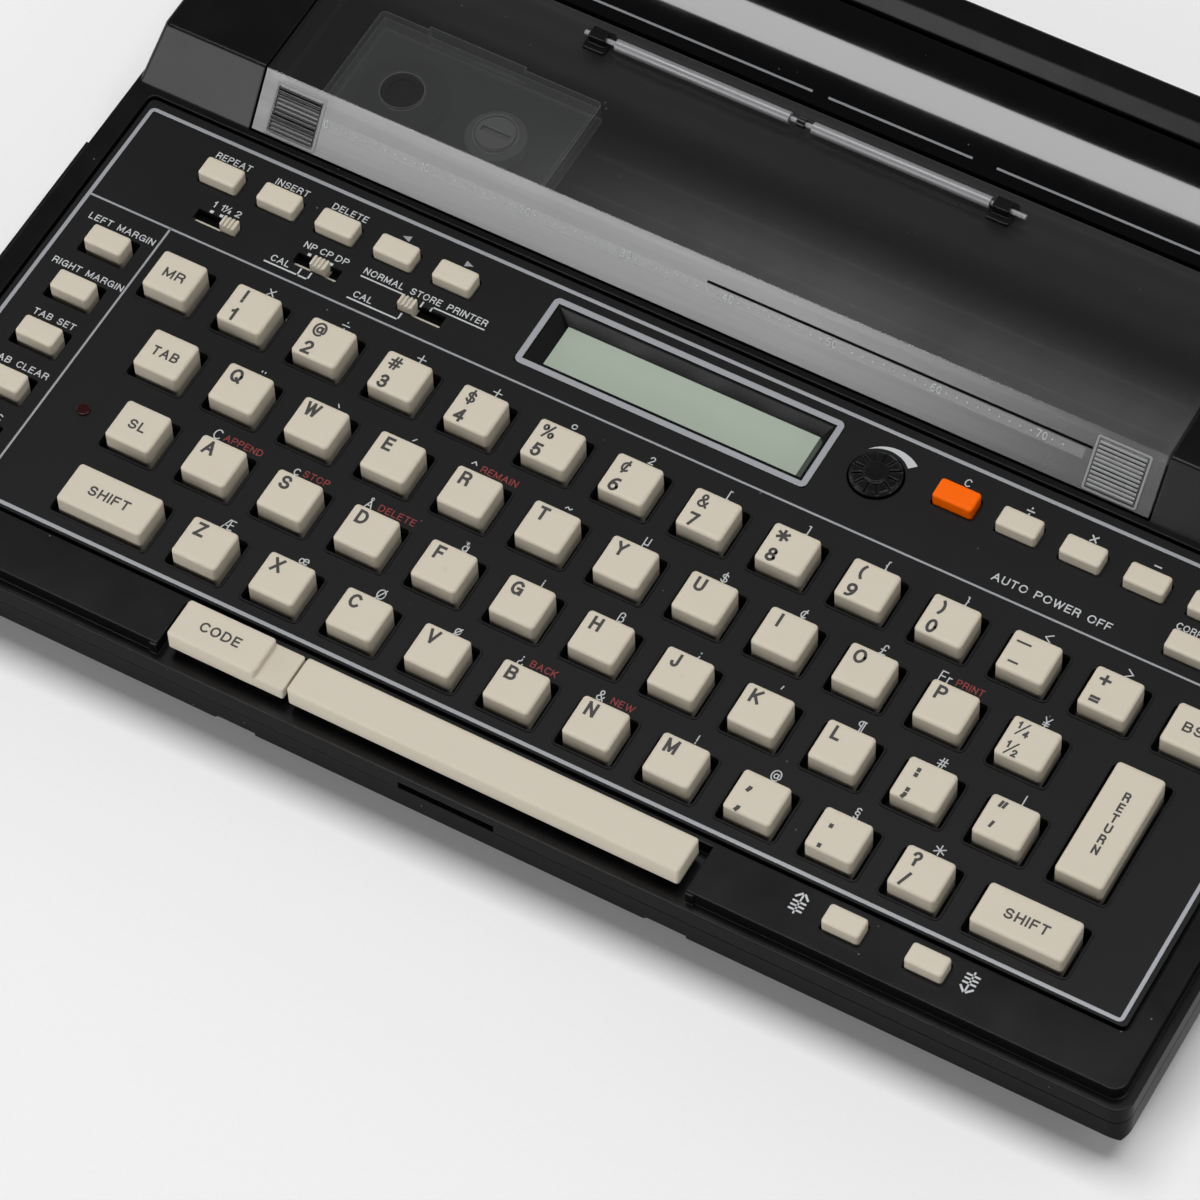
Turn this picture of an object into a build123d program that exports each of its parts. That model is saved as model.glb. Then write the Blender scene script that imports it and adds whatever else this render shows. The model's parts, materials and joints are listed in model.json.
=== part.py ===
"""Portable electronic typewriter, life size, millimetres.

Origin at the middle of the footprint on the table, +X to the typist's right, +Y to the rear, +Z up.
"""
from build123d import *
from math import sqrt
import os

os.makedirs("parts", exist_ok=True)

# Whole machine
CASE_W, CASE_D = 315.3, 228.6
HALF_W, HALF_D = CASE_W / 2, CASE_D / 2
FOOT_H = 2.5                       # rubber feet lift the belly off the table
FLOOR_T = 2.2
FLOOR_Z = FOOT_H + FLOOR_T         # inside floor of the lower shell
BELLY_CHAMFER = 6.0                # lower edge slopes in below this height above the belly
WALL = 2.4
JOIN_Z = 14.6                      # parting line of the two shells
JOIN_GAP = 0.3                     # shadow line between them
RIM_Z = 19.7                       # narrow rim around the raised deck
RIM_W = 2.4
DECK_Z = 23.35                     # deck and keyboard panel top
DECK_T = 2.0
TOWER_Z = 35.65                    # top of the printer housing
TOWER_T = 2.2
TOWER_FRONT_Y, TOWER_TOP_Y = 14.8, 23.7
TOWER_BASE_X, TOWER_TOP_X = 154.8, 152.1
SIDE_RECESS = (-3.3, 76.7)         # shallow recess in both side walls, from and to in Y
CORNER_R = 4.0

# Fits
RUN = 0.06                         # running fit on pins and rods, radial
SLIDE = 0.3                        # gap around sliding stems and knobs
CLEAR = 0.6                        # gap around covers and doors

# Keyboard grid
PITCH = 19.05
ROW_Y = [-30.3 - PITCH * i for i in range(4)]
ROW_X = [-97.9, -88.375, -83.61, -74.09]      # first character key of each row
ROW_N = [12, 11, 11, 10]
KEY_TOP = DECK_Z + 4.1
CAP_W, CAP_D = 11.0, 10.4
HOLE_MARGIN_X, HOLE_MARGIN_Y = 1.45, 1.1
KEY_TRAVEL = 3.0
BAR_TRAVEL = 2.5
SMALL_TRAVEL = 1.7
SMALL_W, SMALL_D = 9.5, 5.3
SMALL_TOP = DECK_Z + 3.0

PANEL_W, PANEL_Y0, PANEL_Y1 = 298.4, -98.05, 11.9
PANEL_T = 1.8
PANEL_GROOVE = 1.0
PANEL_LEDGE = 1.5
PANEL_UNDER = DECK_Z - PANEL_T

GUIDE_Z0, GUIDE_Z1 = 15.5, 17.0    # key guide plate
SLEEVE_H, SLEEVE_SMALL = 2.0, 1.2
STEM, STEM_SMALL = 4.4, 3.0
HOOK_W = 0.8
BOARD_Z0, BOARD_Z1 = 7.0, 8.6      # circuit board
SHEET_Z1 = 9.1                     # contact sheet
DOME_Z = 10.6
PRESS_GAP = 0.4                    # left between a pressed stem and its dome

# Space bar pocket in the deck
POCKET_X0, POCKET_X1, POCKET_Y1 = -71.35, 55.97, -100.25
POCKET_T = 1.8
CODE_X0, CODE_STEP_X, CODE_X1 = -69.3, -47.9, -41.0
BAR_X0, BAR_X1 = -39.8, 53.7
BAR_Y0, BAR_Y1 = -111.05, -101.8
BAR_UNDER = 22.5

# Printer bay
BAY_X0, BAY_X1, BAY_Y1 = -125.7, 98.3, 103.9
COVER_X0, COVER_X1 = BAY_X0 + CLEAR, BAY_X1 - CLEAR
COVER_REAR_Y = 70.0
COVER_T = 2.0
HINGE_Y, HINGE_Z, HINGE_R = 69.3, 34.65, 0.8
PLATEN_Y, PLATEN_Z, PLATEN_R = 66.8, 23.0, 10.0
PLATEN_X0, PLATEN_X1, AXLE_R = -120.0, 93.0, 3.0
PLATE_T = 1.5
PLATE_LEFT, PLATE_RIGHT = -123.0, 95.0
CASS_X0, CASS_X1, CASS_Y0, CASS_Y1 = -114.0, -57.2, 24.6, 54.4
CASS_Z0, CASS_Z1, CASS_T = 23.0, 29.0, 1.0
SPOOLS = [(-98.5, 36.6), (-74.1, 36.0)]
RODS = [(48.0, 17.0, 2.5), (38.6, 17.0, 1.5)]  # y, z, radius of the two carriage rods
BELT_Y, BELT_R, BELT_T = 30.0, 4.9, 0.8
BELT_Z0, BELT_Z1 = 8.6, 11.4
IDLER_X, DRIVE_X = -115.5, 108.0
GEAR_R, PINION_R = 9.25, 3.2       # tip radii
GEAR_N, PINION_N = 36, 12
GEAR_X0, GEAR_X1 = -133.0, -128.0
MESH = GEAR_R + PINION_R + 0.3
PINION_Z = 19.5
PINION_Y = PLATEN_Y + sqrt(MESH ** 2 - (PLATEN_Z - PINION_Z) ** 2)
GUIDE_R, GUIDE_CY, GUIDE_CZ = 38.0, 98.5, -4.8
GUIDE_Y0, GUIDE_Y1, GUIDE_T = 77.5, 102.0, 1.6

# Battery bay under the right tower
CELL_R, CELL_L, CELL_PITCH = 7.1, 50.0, 14.7
CELL_X0 = 100.9
CELL_Y = [48.4 + CELL_PITCH * i for i in range(4)]
CELL_Z = 12.2
DOOR_X0, DOOR_X1, DOOR_Y0, DOOR_Y1 = 101.9, 152.4, 43.4, 97.2
SCREWS = [(x, y) for x in (-149.5, 149.5) for y in (-103.5, -40.0, 107.0)]
FEET = [(x, y) for x in (-133.0, 133.0) for y in (-104.9, 104.9)]
BOSS_X = (-126.4, -50.0, 20.0, 90.0, 139.0)
BOSSES = [(x, y) for x in BOSS_X for y in (ROW_Y[0] - PITCH / 2, ROW_Y[2] - PITCH / 2)]


def block(x0, x1, y0, y1, z0, z1, radius=0.0):
    """Box between two corners; its upright edges are rounded by radius."""
    body = Pos((x0 + x1) / 2, (y0 + y1) / 2, (z0 + z1) / 2) * Box(x1 - x0, y1 - y0, z1 - z0)
    return fillet(body.edges().filter_by(Axis.Z), radius) if radius else body


def post(radius, x, y, z0, z1):
    """Upright cylinder."""
    return Pos(x, y, (z0 + z1) / 2) * Cylinder(radius, z1 - z0)


def bar_x(radius, x0, x1, y, z):
    """Cylinder along X."""
    return Pos((x0 + x1) / 2, y, z) * Rot(0, 90, 0) * Cylinder(radius, x1 - x0)


def slab(x0, x1, points):
    """Y-Z outline extruded from x0 to x1."""
    outline = make_face(Polyline([(0, y, z) for y, z in points], close=True))
    return Pos(x0, 0, 0) * extrude(outline, amount=x1 - x0, dir=(1, 0, 0))


def frustum(w0, y0, y1, z0, w1, y2, y3, z1, radius=0.0):
    """Block whose width and depth change evenly from z0 to z1; its upright edges are rounded by radius."""
    reach = max(w0, w1)
    side = slab(-reach, reach, [(y0, z0), (y1, z0), (y3, z1), (y2, z1)])
    corners = [(-w0 / 2, 0, z0), (w0 / 2, 0, z0), (w1 / 2, 0, z1), (-w1 / 2, 0, z1)]
    front = make_face(Polyline(corners, close=True))
    body = side & (Pos(0, -reach, 0) * extrude(front, amount=2 * reach, dir=(0, 1, 0)))
    uprights = [e for e in body.edges() if abs((e @ 0).Z - (e @ 1).Z) > 0.5 * (z1 - z0)]
    return fillet(uprights, radius) if radius else body


def save(shape, name):
    """Write one subcomponent as parts/name.step."""
    shape = shape if isinstance(shape, (Part, Solid, Compound)) else Compound(children=list(shape))
    shape.label = name
    export_step(shape, f"parts/{name}.step")


def group(shapes):
    """Several separate pieces saved as one node."""
    return Compound(children=[s for piece in shapes for s in piece.solids()])


# Key layout: (x, y, cap width, cap depth) for the tall keys
def row(index):
    return [(ROW_X[index] + PITCH * i, ROW_Y[index], CAP_W, CAP_D) for i in range(ROW_N[index])]


TALL = {
    "number_keys": row(0),
    "upper_letter_keys": row(1),
    "home_letter_keys": row(2),
    "lower_letter_keys": row(3),
    "mr_key": [(ROW_X[0] - PITCH, ROW_Y[0], CAP_W, CAP_D)],
    "backspace_key": [(ROW_X[0] + 12 * PITCH, ROW_Y[0], CAP_W, CAP_D)],
    "tab_key": [(ROW_X[1] - PITCH, ROW_Y[1], CAP_W, CAP_D)],
    "shift_lock_key": [(ROW_X[2] - PITCH, ROW_Y[2], CAP_W, CAP_D)],
    "return_key": [(125.9, -58.9, CAP_W, 29.5)],
    "left_shift_key": [(-97.9, ROW_Y[3], 21.0, CAP_D)],
    "right_shift_key": [(121.4, ROW_Y[3], 21.3, CAP_D)],
}
SMALL = {
    "edit_keys": [(-123.4 + 15.0 * i, -0.3, SMALL_W, SMALL_D) for i in range(5)],
    "margin_keys": [(-135.8, -28.2 - 14.03 * i, SMALL_W, SMALL_D) for i in range(5)],
    "clear_key": [(60.0, -0.3, SMALL_W, SMALL_D)],
    "calculator_keys": [(75.06 + 15.06 * i, -0.3, SMALL_W, SMALL_D) for i in range(4)],
    "correct_key": [(120.24, -11.3, SMALL_W, SMALL_D)],
    "paper_up_key": [(88.6, -104.2, 8.7, 5.0)],
    "paper_down_key": [(107.6, -104.2, 8.7, 5.0)],
}
IN_DECK = ("paper_up_key", "paper_down_key")
SLOTS = {                          # x0, x1 of the slot, x of the knob, its travel to the left and right
    "line_space_slider": (-123.8, -112.6, -114.8, 5.2, 0.0),
    "pitch_slider": (-98.1, -86.8, -91.6, 2.55, 2.55),
    "mode_slider": (-71.5, -60.4, -69.3, 0.0, 5.2),
}
SLOT_Y0, SLOT_Y1 = -12.9, -9.5
KNOB_W, TONGUE_OVER = 3.7, 0.6
BEZEL = (-42.0, 29.7, -12.55, 6.5)
GLASS = (-37.2, 26.1, -9.6, 3.0)
DIAL_X, DIAL_Y, DIAL_R = 41.7, -2.4, 5.9
DIAL_TOP = DECK_Z + 1.3
LAMP_X, LAMP_Y, LAMP_R = -117.1, -68.2, 1.5


def stems_of(x, y, w, d):
    """Centres of the guide stems under one cap."""
    if w > 15:
        return [(x - w / 2 + 5.0, y), (x + w / 2 - 5.0, y)]
    if d > 15:
        return [(x, y - d / 2 + 5.0), (x, y + d / 2 - 5.0)]
    return [(x, y)]


BAR_STEMS = [(BAR_X0 + 12, -106.2), ((BAR_X0 + BAR_X1) / 2, -106.2), (BAR_X1 - 12, -106.2)]
CODE_STEMS = [(CODE_X0 + 6, -106.2), (CODE_X1 - 6, -106.2)]
TALL_STEMS = [s for keys in TALL.values() for k in keys for s in stems_of(*k)] + BAR_STEMS + CODE_STEMS
SMALL_STEMS = [s for keys in SMALL.values() for k in keys for s in stems_of(*k)]


def hooked_stem(x, y, size, top, travel):
    """Square stem with snap hooks under the guide plate; it ends clear of the contact dome when pressed."""
    end = DOME_Z + PRESS_GAP + travel
    shaft = block(x - size / 2, x + size / 2, y - size / 2, y + size / 2, end, top)
    reach = size / 2 + HOOK_W
    hook = block(x - reach, x + reach, y - size / 4, y + size / 4, end, GUIDE_Z0 - SLIDE)
    return shaft + hook


def keycap(x, y, w, d, top, under, wall, soft):
    """Hollow cap, open below, edges rounded by soft."""
    cap = block(x - w / 2, x + w / 2, y - d / 2, y + d / 2, under, top, soft * 1.3)
    cap = fillet(cap.faces().sort_by(Axis.Z)[-1].edges(), soft)
    return cap - block(x - w / 2 + wall, x + w / 2 - wall, y - d / 2 + wall, y + d / 2 - wall,
                       under - 1, top - 1.6)


def tall_key(x, y, w, d):
    key = keycap(x, y, w, d, KEY_TOP, 20.4, 1.2, 0.7)
    for sx, sy in stems_of(x, y, w, d):
        key += hooked_stem(sx, sy, STEM, KEY_TOP - 1.0, KEY_TRAVEL)
    return key


def small_key(x, y, w, d):
    key = keycap(x, y, w, d, SMALL_TOP, 20.6, 0.7, 0.6)
    return key + hooked_stem(x, y, STEM_SMALL, SMALL_TOP - 1.0, SMALL_TRAVEL)


# Lower shell
def lower_shell():
    w, d = CASE_W, CASE_D
    inset = BELLY_CHAMFER - 1
    belly_top = FOOT_H + BELLY_CHAMFER
    body = block(-w / 2, w / 2, -d / 2, d / 2, FOOT_H, belly_top, CORNER_R)
    body &= frustum(w - 2 * inset, -d / 2 + inset, d / 2 - inset, FOOT_H, w, -d / 2, d / 2, belly_top)
    body += block(-w / 2, w / 2, -d / 2, d / 2, belly_top, JOIN_Z, CORNER_R)
    iw, idp = w - 2 * WALL, d - 2 * WALL
    slope_in = BELLY_CHAMFER - FLOOR_T + 0.4
    hollow = block(-iw / 2, iw / 2, -idp / 2, idp / 2, FLOOR_Z, belly_top, CORNER_R - 2)
    hollow &= frustum(iw - 2 * slope_in, -idp / 2 + slope_in, idp / 2 - slope_in, FLOOR_Z, iw, -idp / 2, idp / 2,
                      belly_top)
    hollow += block(-iw / 2, iw / 2, -idp / 2, idp / 2, belly_top, JOIN_Z + 1, CORNER_R - 2)
    body -= hollow
    lip = block(-iw / 2 + 0.1, iw / 2 - 0.1, -idp / 2 + 0.1, idp / 2 - 0.1, JOIN_Z - 3.0, JOIN_Z + 1.6, 1.9)
    lip -= block(-iw / 2 + 1.3, iw / 2 - 1.3, -idp / 2 + 1.3, idp / 2 - 1.3, JOIN_Z - 4, JOIN_Z + 3, 0.8)
    body += lip
    y0, y1 = SIDE_RECESS
    for side in (-1, 1):
        pad = block(min(side * 152.7, side * 155.8), max(side * 152.7, side * 155.8), y0 - WALL, y1 + WALL,
                    FLOOR_Z - 0.4, JOIN_Z)
        body += pad
        cut = block(min(side * 155.25, side * 160), max(side * 155.25, side * 160), y0, y1, 0, JOIN_Z + 1)
        body -= cut
        lip_cut = block(min(side * 150, side * 160), max(side * 150, side * 160), y0 - WALL - 1.5, y1 + WALL + 1.5,
                        JOIN_Z, JOIN_Z + 3)
        body -= lip_cut
        notch = side * 52.0
        body -= block(notch - 5, notch + 5, -HALF_D - 1, -HALF_D + 1.1, 0, belly_top + 0.9)
    # screw bosses to the upper shell, bosses under the key guide plate, board ribs
    for x, y in SCREWS:
        body += post(3.2, x, y, FLOOR_Z - 0.2, JOIN_Z)
        body -= post(1.4, x, y, 0, JOIN_Z + 1)
        body -= post(2.9, x, y, 0, FOOT_H + 1.6)
    for x, y in BOSSES:
        body += post(2.5, x, y, FLOOR_Z - 0.2, GUIDE_Z0)
    for x in (-140, -90, -20, 55, 120):
        body += block(x - 1, x + 1, -108, 6, FLOOR_Z - 0.2, BOARD_Z0)
    # battery bay with contact walls, and the floor opening with its grooves
    bx0, bx1 = CELL_X0 - 1.9, CELL_X0 + CELL_L + 0.3
    by0, by1 = CELL_Y[0] - CELL_R - CLEAR, CELL_Y[-1] + CELL_R + CLEAR
    body += block(bx0 - 0.6, bx0 + 0.6, by0 - 1.0, by1 + 1.0, FLOOR_Z - 0.2, JOIN_Z)
    for y in (by0 - 1.0, by1):
        body += block(bx0, bx1 + 1.0, y, y + 1.0, FLOOR_Z - 0.2, JOIN_Z)
    body -= block(DOOR_X0 - 0.4, 160, DOOR_Y0 - 0.4, DOOR_Y1 + 0.4, 0, FLOOR_Z + 0.1)
    body -= block(DOOR_X0 - 0.4, 160, DOOR_Y0 - 2.1, DOOR_Y1 + 2.1, FOOT_H + 0.75, FLOOR_Z + 0.1)
    # adapter inlet in the rear wall, feet sockets
    body -= Pos(125, HALF_D - 1, 10) * Rot(90, 0, 0) * Cylinder(3.6, 12)
    for x, y in FEET:
        body -= post(2.0, x, y, 0, FLOOR_Z + 1)
    return body


# Upper shell
def upper_shell():
    base = JOIN_Z + JOIN_GAP
    body = block(-HALF_W, HALF_W, -HALF_D, HALF_D, base, RIM_Z, CORNER_R)
    dw = HALF_W - RIM_W
    body += block(-dw, dw, -HALF_D + RIM_W, HALF_D, RIM_Z - 1, DECK_Z, 3.0)
    housing = frustum(2 * TOWER_BASE_X, TOWER_FRONT_Y, HALF_D, DECK_Z, 2 * TOWER_TOP_X, TOWER_TOP_Y,
                      HALF_D - 0.3, TOWER_Z, 1.5)
    housing = fillet(housing.faces().sort_by(Axis.Z)[-1].edges(), 0.9)
    body += housing
    iw = HALF_W - WALL
    hollow = block(-iw, iw, -HALF_D + WALL, HALF_D - WALL, base - 1, RIM_Z - TOWER_T, 2.0)
    hollow += block(-dw + TOWER_T, dw - TOWER_T, -HALF_D + RIM_W + TOWER_T, HALF_D - WALL, base, DECK_Z - DECK_T)
    hollow += frustum(2 * TOWER_BASE_X - 2 * TOWER_T, TOWER_FRONT_Y + 2.2, HALF_D - TOWER_T, DECK_Z - DECK_T - 0.5,
                      2 * TOWER_TOP_X - 2 * TOWER_T, TOWER_TOP_Y + 1.6, HALF_D - 2.5, TOWER_Z - TOWER_T, 1.0)
    body -= hollow
    # ledge that carries the keyboard panel
    px, gy0, gy1 = PANEL_W / 2, PANEL_Y0 - PANEL_GROOVE, PANEL_Y1 + PANEL_GROOVE
    ledge = block(-dw + 1, dw - 1, gy0 - 1.8, TOWER_FRONT_Y + 2.5, PANEL_UNDER - 1.8, DECK_Z - 1)
    body += ledge & block(-HALF_W + 3, HALF_W - 3, -HALF_D, HALF_D, 0, 50)
    # space bar pocket
    body += block(POCKET_X0 - POCKET_T, POCKET_X1 + POCKET_T, -HALF_D + RIM_W - 0.5, POCKET_Y1 + 1.5,
                  RIM_Z - POCKET_T, DECK_Z - 0.5)
    body -= block(POCKET_X0, POCKET_X1, -HALF_D - 1, POCKET_Y1, RIM_Z, DECK_Z + 5)
    body -= block(-px - PANEL_GROOVE, px + PANEL_GROOVE, gy0, gy1, PANEL_UNDER, DECK_Z + 1, 2.0)
    body -= block(-px + PANEL_LEDGE, px - PANEL_LEDGE, PANEL_Y0 + PANEL_LEDGE, PANEL_Y1 - PANEL_LEDGE,
                  PANEL_UNDER - 4, DECK_Z, 1.0)
    # screw posts
    for x, y in SCREWS:
        top = TOWER_Z - TOWER_T if y > TOWER_TOP_Y else PANEL_UNDER - 1.7
        body += post(3.0, x, y, base - JOIN_GAP, top + 0.3)
        body -= post(1.3, x, y, base - 2, base + 4.5)
    # printer bay: opening and its short skirts
    skirt = block(BAY_X0 - 1.6, BAY_X1 + 1.6, TOWER_FRONT_Y, BAY_Y1 + 1.6, 28.0, TOWER_Z - 0.5)
    solid = block(-HALF_W, HALF_W, -HALF_D, HALF_D, 20, DECK_Z) + housing
    body += skirt & solid
    body -= block(BAY_X0, BAY_X1, TOWER_FRONT_Y - 0.3, BAY_Y1, DECK_Z - 6, TOWER_Z + 5)
    body -= slab(BAY_X0, BAY_X1, [(BAY_Y1 - 1, 31.85), (BAY_Y1, 31.85), (BAY_Y1 + 2.95, TOWER_Z + 0.2),
                                  (BAY_Y1 - 1, TOWER_Z + 0.2)])
    # strip between the panel groove and the cover foot
    body += block(BAY_X0 - 1, BAY_X1 + 1, gy1 + 0.05, TOWER_FRONT_Y - 0.3, PANEL_UNDER - 1.8, DECK_Z)
    # key openings
    for x, y in BAR_STEMS + CODE_STEMS:
        g = STEM / 2 + SLIDE
        body -= block(x - g, x + g, y - g, y + g, RIM_Z - 3, RIM_Z + 1)
    for name in IN_DECK:
        for x, y, w, d in SMALL[name]:
            hw, hd = w / 2 + SLIDE, d / 2 + SLIDE
            body -= block(x - hw, x + hw, y - hd, y + hd, 18, DECK_Z + 1, 0.6)
    # side recesses, latch slot, adapter inlet relief
    y0, y1 = SIDE_RECESS
    for side in (-1, 1):
        body += block(min(side * 152.7, side * 155.8), max(side * 152.7, side * 155.8), y0 - WALL, y1 + WALL,
                      base, RIM_Z - 1)
        body -= block(min(side * 155.25, side * 160), max(side * 155.25, side * 160), y0, y1, base - 1, DECK_Z + 1)
    body -= block(-11.5, 11.5, -HALF_D - 1, -HALF_D + 1.6, base - 1, base + 2.3)
    return body


# Keyboard panel with all its openings
def panel():
    body = block(-PANEL_W / 2, PANEL_W / 2, PANEL_Y0, PANEL_Y1, PANEL_UNDER, DECK_Z, 1.2)
    holes = []
    for keys in TALL.values():
        for x, y, w, d in keys:
            hw, hd = w / 2 + HOLE_MARGIN_X, d / 2 + HOLE_MARGIN_Y
            rw, rd = hw + 0.45, hd + 0.45
            body += block(x - rw, x + rw, y - rd, y + rd, DECK_Z - 0.5, DECK_Z + 0.25, 1.4)
            holes.append(block(x - hw, x + hw, y - hd, y + hd, PANEL_UNDER - 1, DECK_Z + 1, 1.0))
    for name, keys in SMALL.items():
        if name in IN_DECK:
            continue
        wide = 1.0 if name == "margin_keys" else 0.0
        for x, y, w, d in keys:
            hw, hd = w / 2 + SLIDE + wide, d / 2 + SLIDE + wide
            holes.append(block(x - hw, x + hw, y - hd, y + hd, PANEL_UNDER - 1, DECK_Z + 1, 0.7))
    for x0, x1, *_ in SLOTS.values():
        holes.append(block(x0, x1, SLOT_Y0, SLOT_Y1, PANEL_UNDER - 1, DECK_Z + 1, 0.3))
    holes.append(block(*BEZEL, PANEL_UNDER - 1, DECK_Z + 1))
    holes.append(post(DIAL_R + 0.4, DIAL_X, DIAL_Y, PANEL_UNDER - 1, DECK_Z + 1))
    holes.append(post(LAMP_R, LAMP_X, LAMP_Y, PANEL_UNDER - 1, DECK_Z + 1))
    return body - holes


def guide_plate():
    """Plate of square sleeves that keeps every key stem upright."""
    body = block(-145, 145, -110.2, 7.5, GUIDE_Z0, GUIDE_Z1)
    for size, stems, high in ((STEM, TALL_STEMS, SLEEVE_H), (STEM_SMALL, SMALL_STEMS, SLEEVE_SMALL)):
        g, o = size / 2 + SLIDE, size / 2 + SLIDE + 0.8
        low = [s for s in stems if s in BAR_STEMS + CODE_STEMS]
        body += [block(x - o, x + o, y - o, y + o, GUIDE_Z1 - 0.5, GUIDE_Z1 + high)
                 for x, y in stems if (x, y) not in low]
        body -= [block(x - g, x + g, y - g, y + g, GUIDE_Z0 - 1, GUIDE_Z1 + 3) for x, y in stems]
    return body + post(1.5, DIAL_X, DIAL_Y, GUIDE_Z1 - 0.5, DECK_Z - 0.6)


def contact_sheet():
    body = block(-144, 144, -108.8, 7.0, BOARD_Z1, SHEET_Z1)
    body += [Pos(x, y, (SHEET_Z1 + DOME_Z) / 2 - 0.1) * Cone(2.6, 1.6, DOME_Z - SHEET_Z1 + 0.2)
             for x, y in TALL_STEMS + SMALL_STEMS]
    return body - [post(3.0, x, y, BOARD_Z1 - 1, SHEET_Z1 + 1) for x, y in BOSSES]


def circuit_board():
    body = block(-146, 146, -109.0, 8.5, BOARD_Z0, BOARD_Z1)
    chips = [(-115, -86, 14, 38), (-70, -60, 14, 38), (0, -80, 20, 20), (35, -30, 14, 30), (85, -70, 12, 24)]
    body += [block(x - w / 2, x + w / 2, y - d / 2, y + d / 2, FLOOR_Z + 0.5, BOARD_Z0 + 0.1)
             for x, y, w, d in chips]
    body -= [post(3.0, x, y, FLOOR_Z, BOARD_Z1 + 1) for x, y in BOSSES]
    return body - [post(3.8, x, y, FLOOR_Z, BOARD_Z1 + 1) for x, y in SCREWS]


def bezel():
    x0, x1, y0, y1 = BEZEL
    body = block(x0 + 0.1, x1 - 0.1, y0 + 0.1, y1 - 0.1, 18.6, DECK_Z + 0.15)
    gx0, gx1, gy0, gy1 = GLASS
    low = Pos((gx0 + gx1) / 2, (gy0 + gy1) / 2, 20.6) * Rectangle(gx1 - gx0 - 1.0, gy1 - gy0 - 1.0)
    high = Pos((x0 + x1) / 2, (y0 + y1) / 2, DECK_Z + 0.16) * Rectangle(x1 - x0 - 4.0, y1 - y0 - 4.0)
    body -= loft([low, high])
    return body - block(gx0, gx1, gy0, gy1, 18, 20.6)


def display():
    gx0, gx1, gy0, gy1 = GLASS
    glass = block(gx0 + 0.1, gx1 - 0.1, gy0 + 0.1, gy1 - 0.1, 19.0, 20.6)
    board = block(gx0 - 3.0, gx1 + 3.0, gy0 - 2.4, gy1 + 2.4, 17.4, 18.6)
    return glass + board + block(gx0 + 1, gx1 - 1, gy0 + 1, gy1 - 1, 18.5, 19.1)


def slider(x0, x1, knob_x, left, right):
    """Ribbed knob through the slot on a tongue that closes the slot from below over the whole travel."""
    w = KNOB_W / 2
    knob = block(knob_x - w, knob_x + w, SLOT_Y0 + SLIDE, SLOT_Y1 - SLIDE, 20.6, DECK_Z + 2.2, 0.3)
    knob -= [block(knob_x + i - 0.25, knob_x + i + 0.25, SLOT_Y0, SLOT_Y1, DECK_Z + 1.7, DECK_Z + 3)
             for i in (-1, 0, 1)]
    foot = block(x0 - right - TONGUE_OVER, x1 + left + TONGUE_OVER, SLOT_Y0 - 1.6, SLOT_Y1 + 1.6, 19.6,
                 PANEL_UNDER - 0.35)
    return knob + foot


def space_bar():
    body = block(BAR_X0, BAR_X1, BAR_Y0, BAR_Y1, BAR_UNDER, KEY_TOP, 0.8)
    body = fillet(body.faces().sort_by(Axis.Z)[-1].edges(), 0.6)
    body -= block(BAR_X0 + 1.3, BAR_X1 - 1.3, BAR_Y0 + 1.3, BAR_Y1 - 1.3, BAR_UNDER - 1, KEY_TOP - 1.7)
    for x, y in BAR_STEMS:
        body += hooked_stem(x, y, STEM, KEY_TOP - 1.0, BAR_TRAVEL)
    return body


def code_key():
    y0, y1, step = BAR_Y0 + 0.1, BAR_Y1 + 0.7, KEY_TOP - 2.0
    high = block(CODE_X0, CODE_STEP_X, y0, y1, BAR_UNDER, KEY_TOP, 0.8)
    high = fillet(high.faces().sort_by(Axis.Z)[-1].edges(), 0.6)
    low = block(CODE_STEP_X - 2, CODE_X1, y0 + 0.05, y1 - 0.1, BAR_UNDER, step, 0.5)
    body = high + low
    body -= block(CODE_X0 + 1.3, CODE_STEP_X - 1.3, y0 + 1.3, y1 - 1.3, BAR_UNDER - 1, KEY_TOP - 1.7)
    body -= block(CODE_STEP_X - 1.4, CODE_X1 - 1.3, y0 + 1.3, y1 - 1.3, BAR_UNDER - 1, step - 1.3)
    for x, y in CODE_STEMS:
        body += hooked_stem(x, y, STEM, step - 0.8, BAR_TRAVEL)
    return body


def contrast_dial():
    """Dial with a round boss and twelve radial grooves for the finger."""
    body = post(DIAL_R, DIAL_X, DIAL_Y, GUIDE_Z1 + 3.0, DIAL_TOP)
    body = chamfer(body.faces().sort_by(Axis.Z)[-1].edges(), 0.7)
    groove = block(-0.3, 0.3, 2.9, DIAL_R + 1, DIAL_TOP - 0.6, DIAL_TOP + 1)
    body -= [Pos(DIAL_X, DIAL_Y, 0) * Rot(0, 0, 30 * i) * groove for i in range(12)]
    body += post(2.6, DIAL_X, DIAL_Y, DIAL_TOP - 0.1, DIAL_TOP + 0.25)
    return body - post(1.5 + RUN, DIAL_X, DIAL_Y, GUIDE_Z1, DECK_Z - 0.3)


def lamp():
    return post(LAMP_R, LAMP_X, LAMP_Y, PANEL_UNDER - 0.5, DECK_Z + 0.5) + \
        post(2.3, LAMP_X, LAMP_Y, PANEL_UNDER - 1.7, PANEL_UNDER)


# Print cover and the paper bail on it
SLOPE = (TOWER_TOP_Y - TOWER_FRONT_Y) / (TOWER_Z - DECK_Z)
FOOT_Z = DECK_Z + 0.3


def cover_line(z, inset=0.0):
    """Y of the slanted front of the cover at height z."""
    return TOWER_FRONT_Y + (z - DECK_Z) * SLOPE + inset


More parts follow.
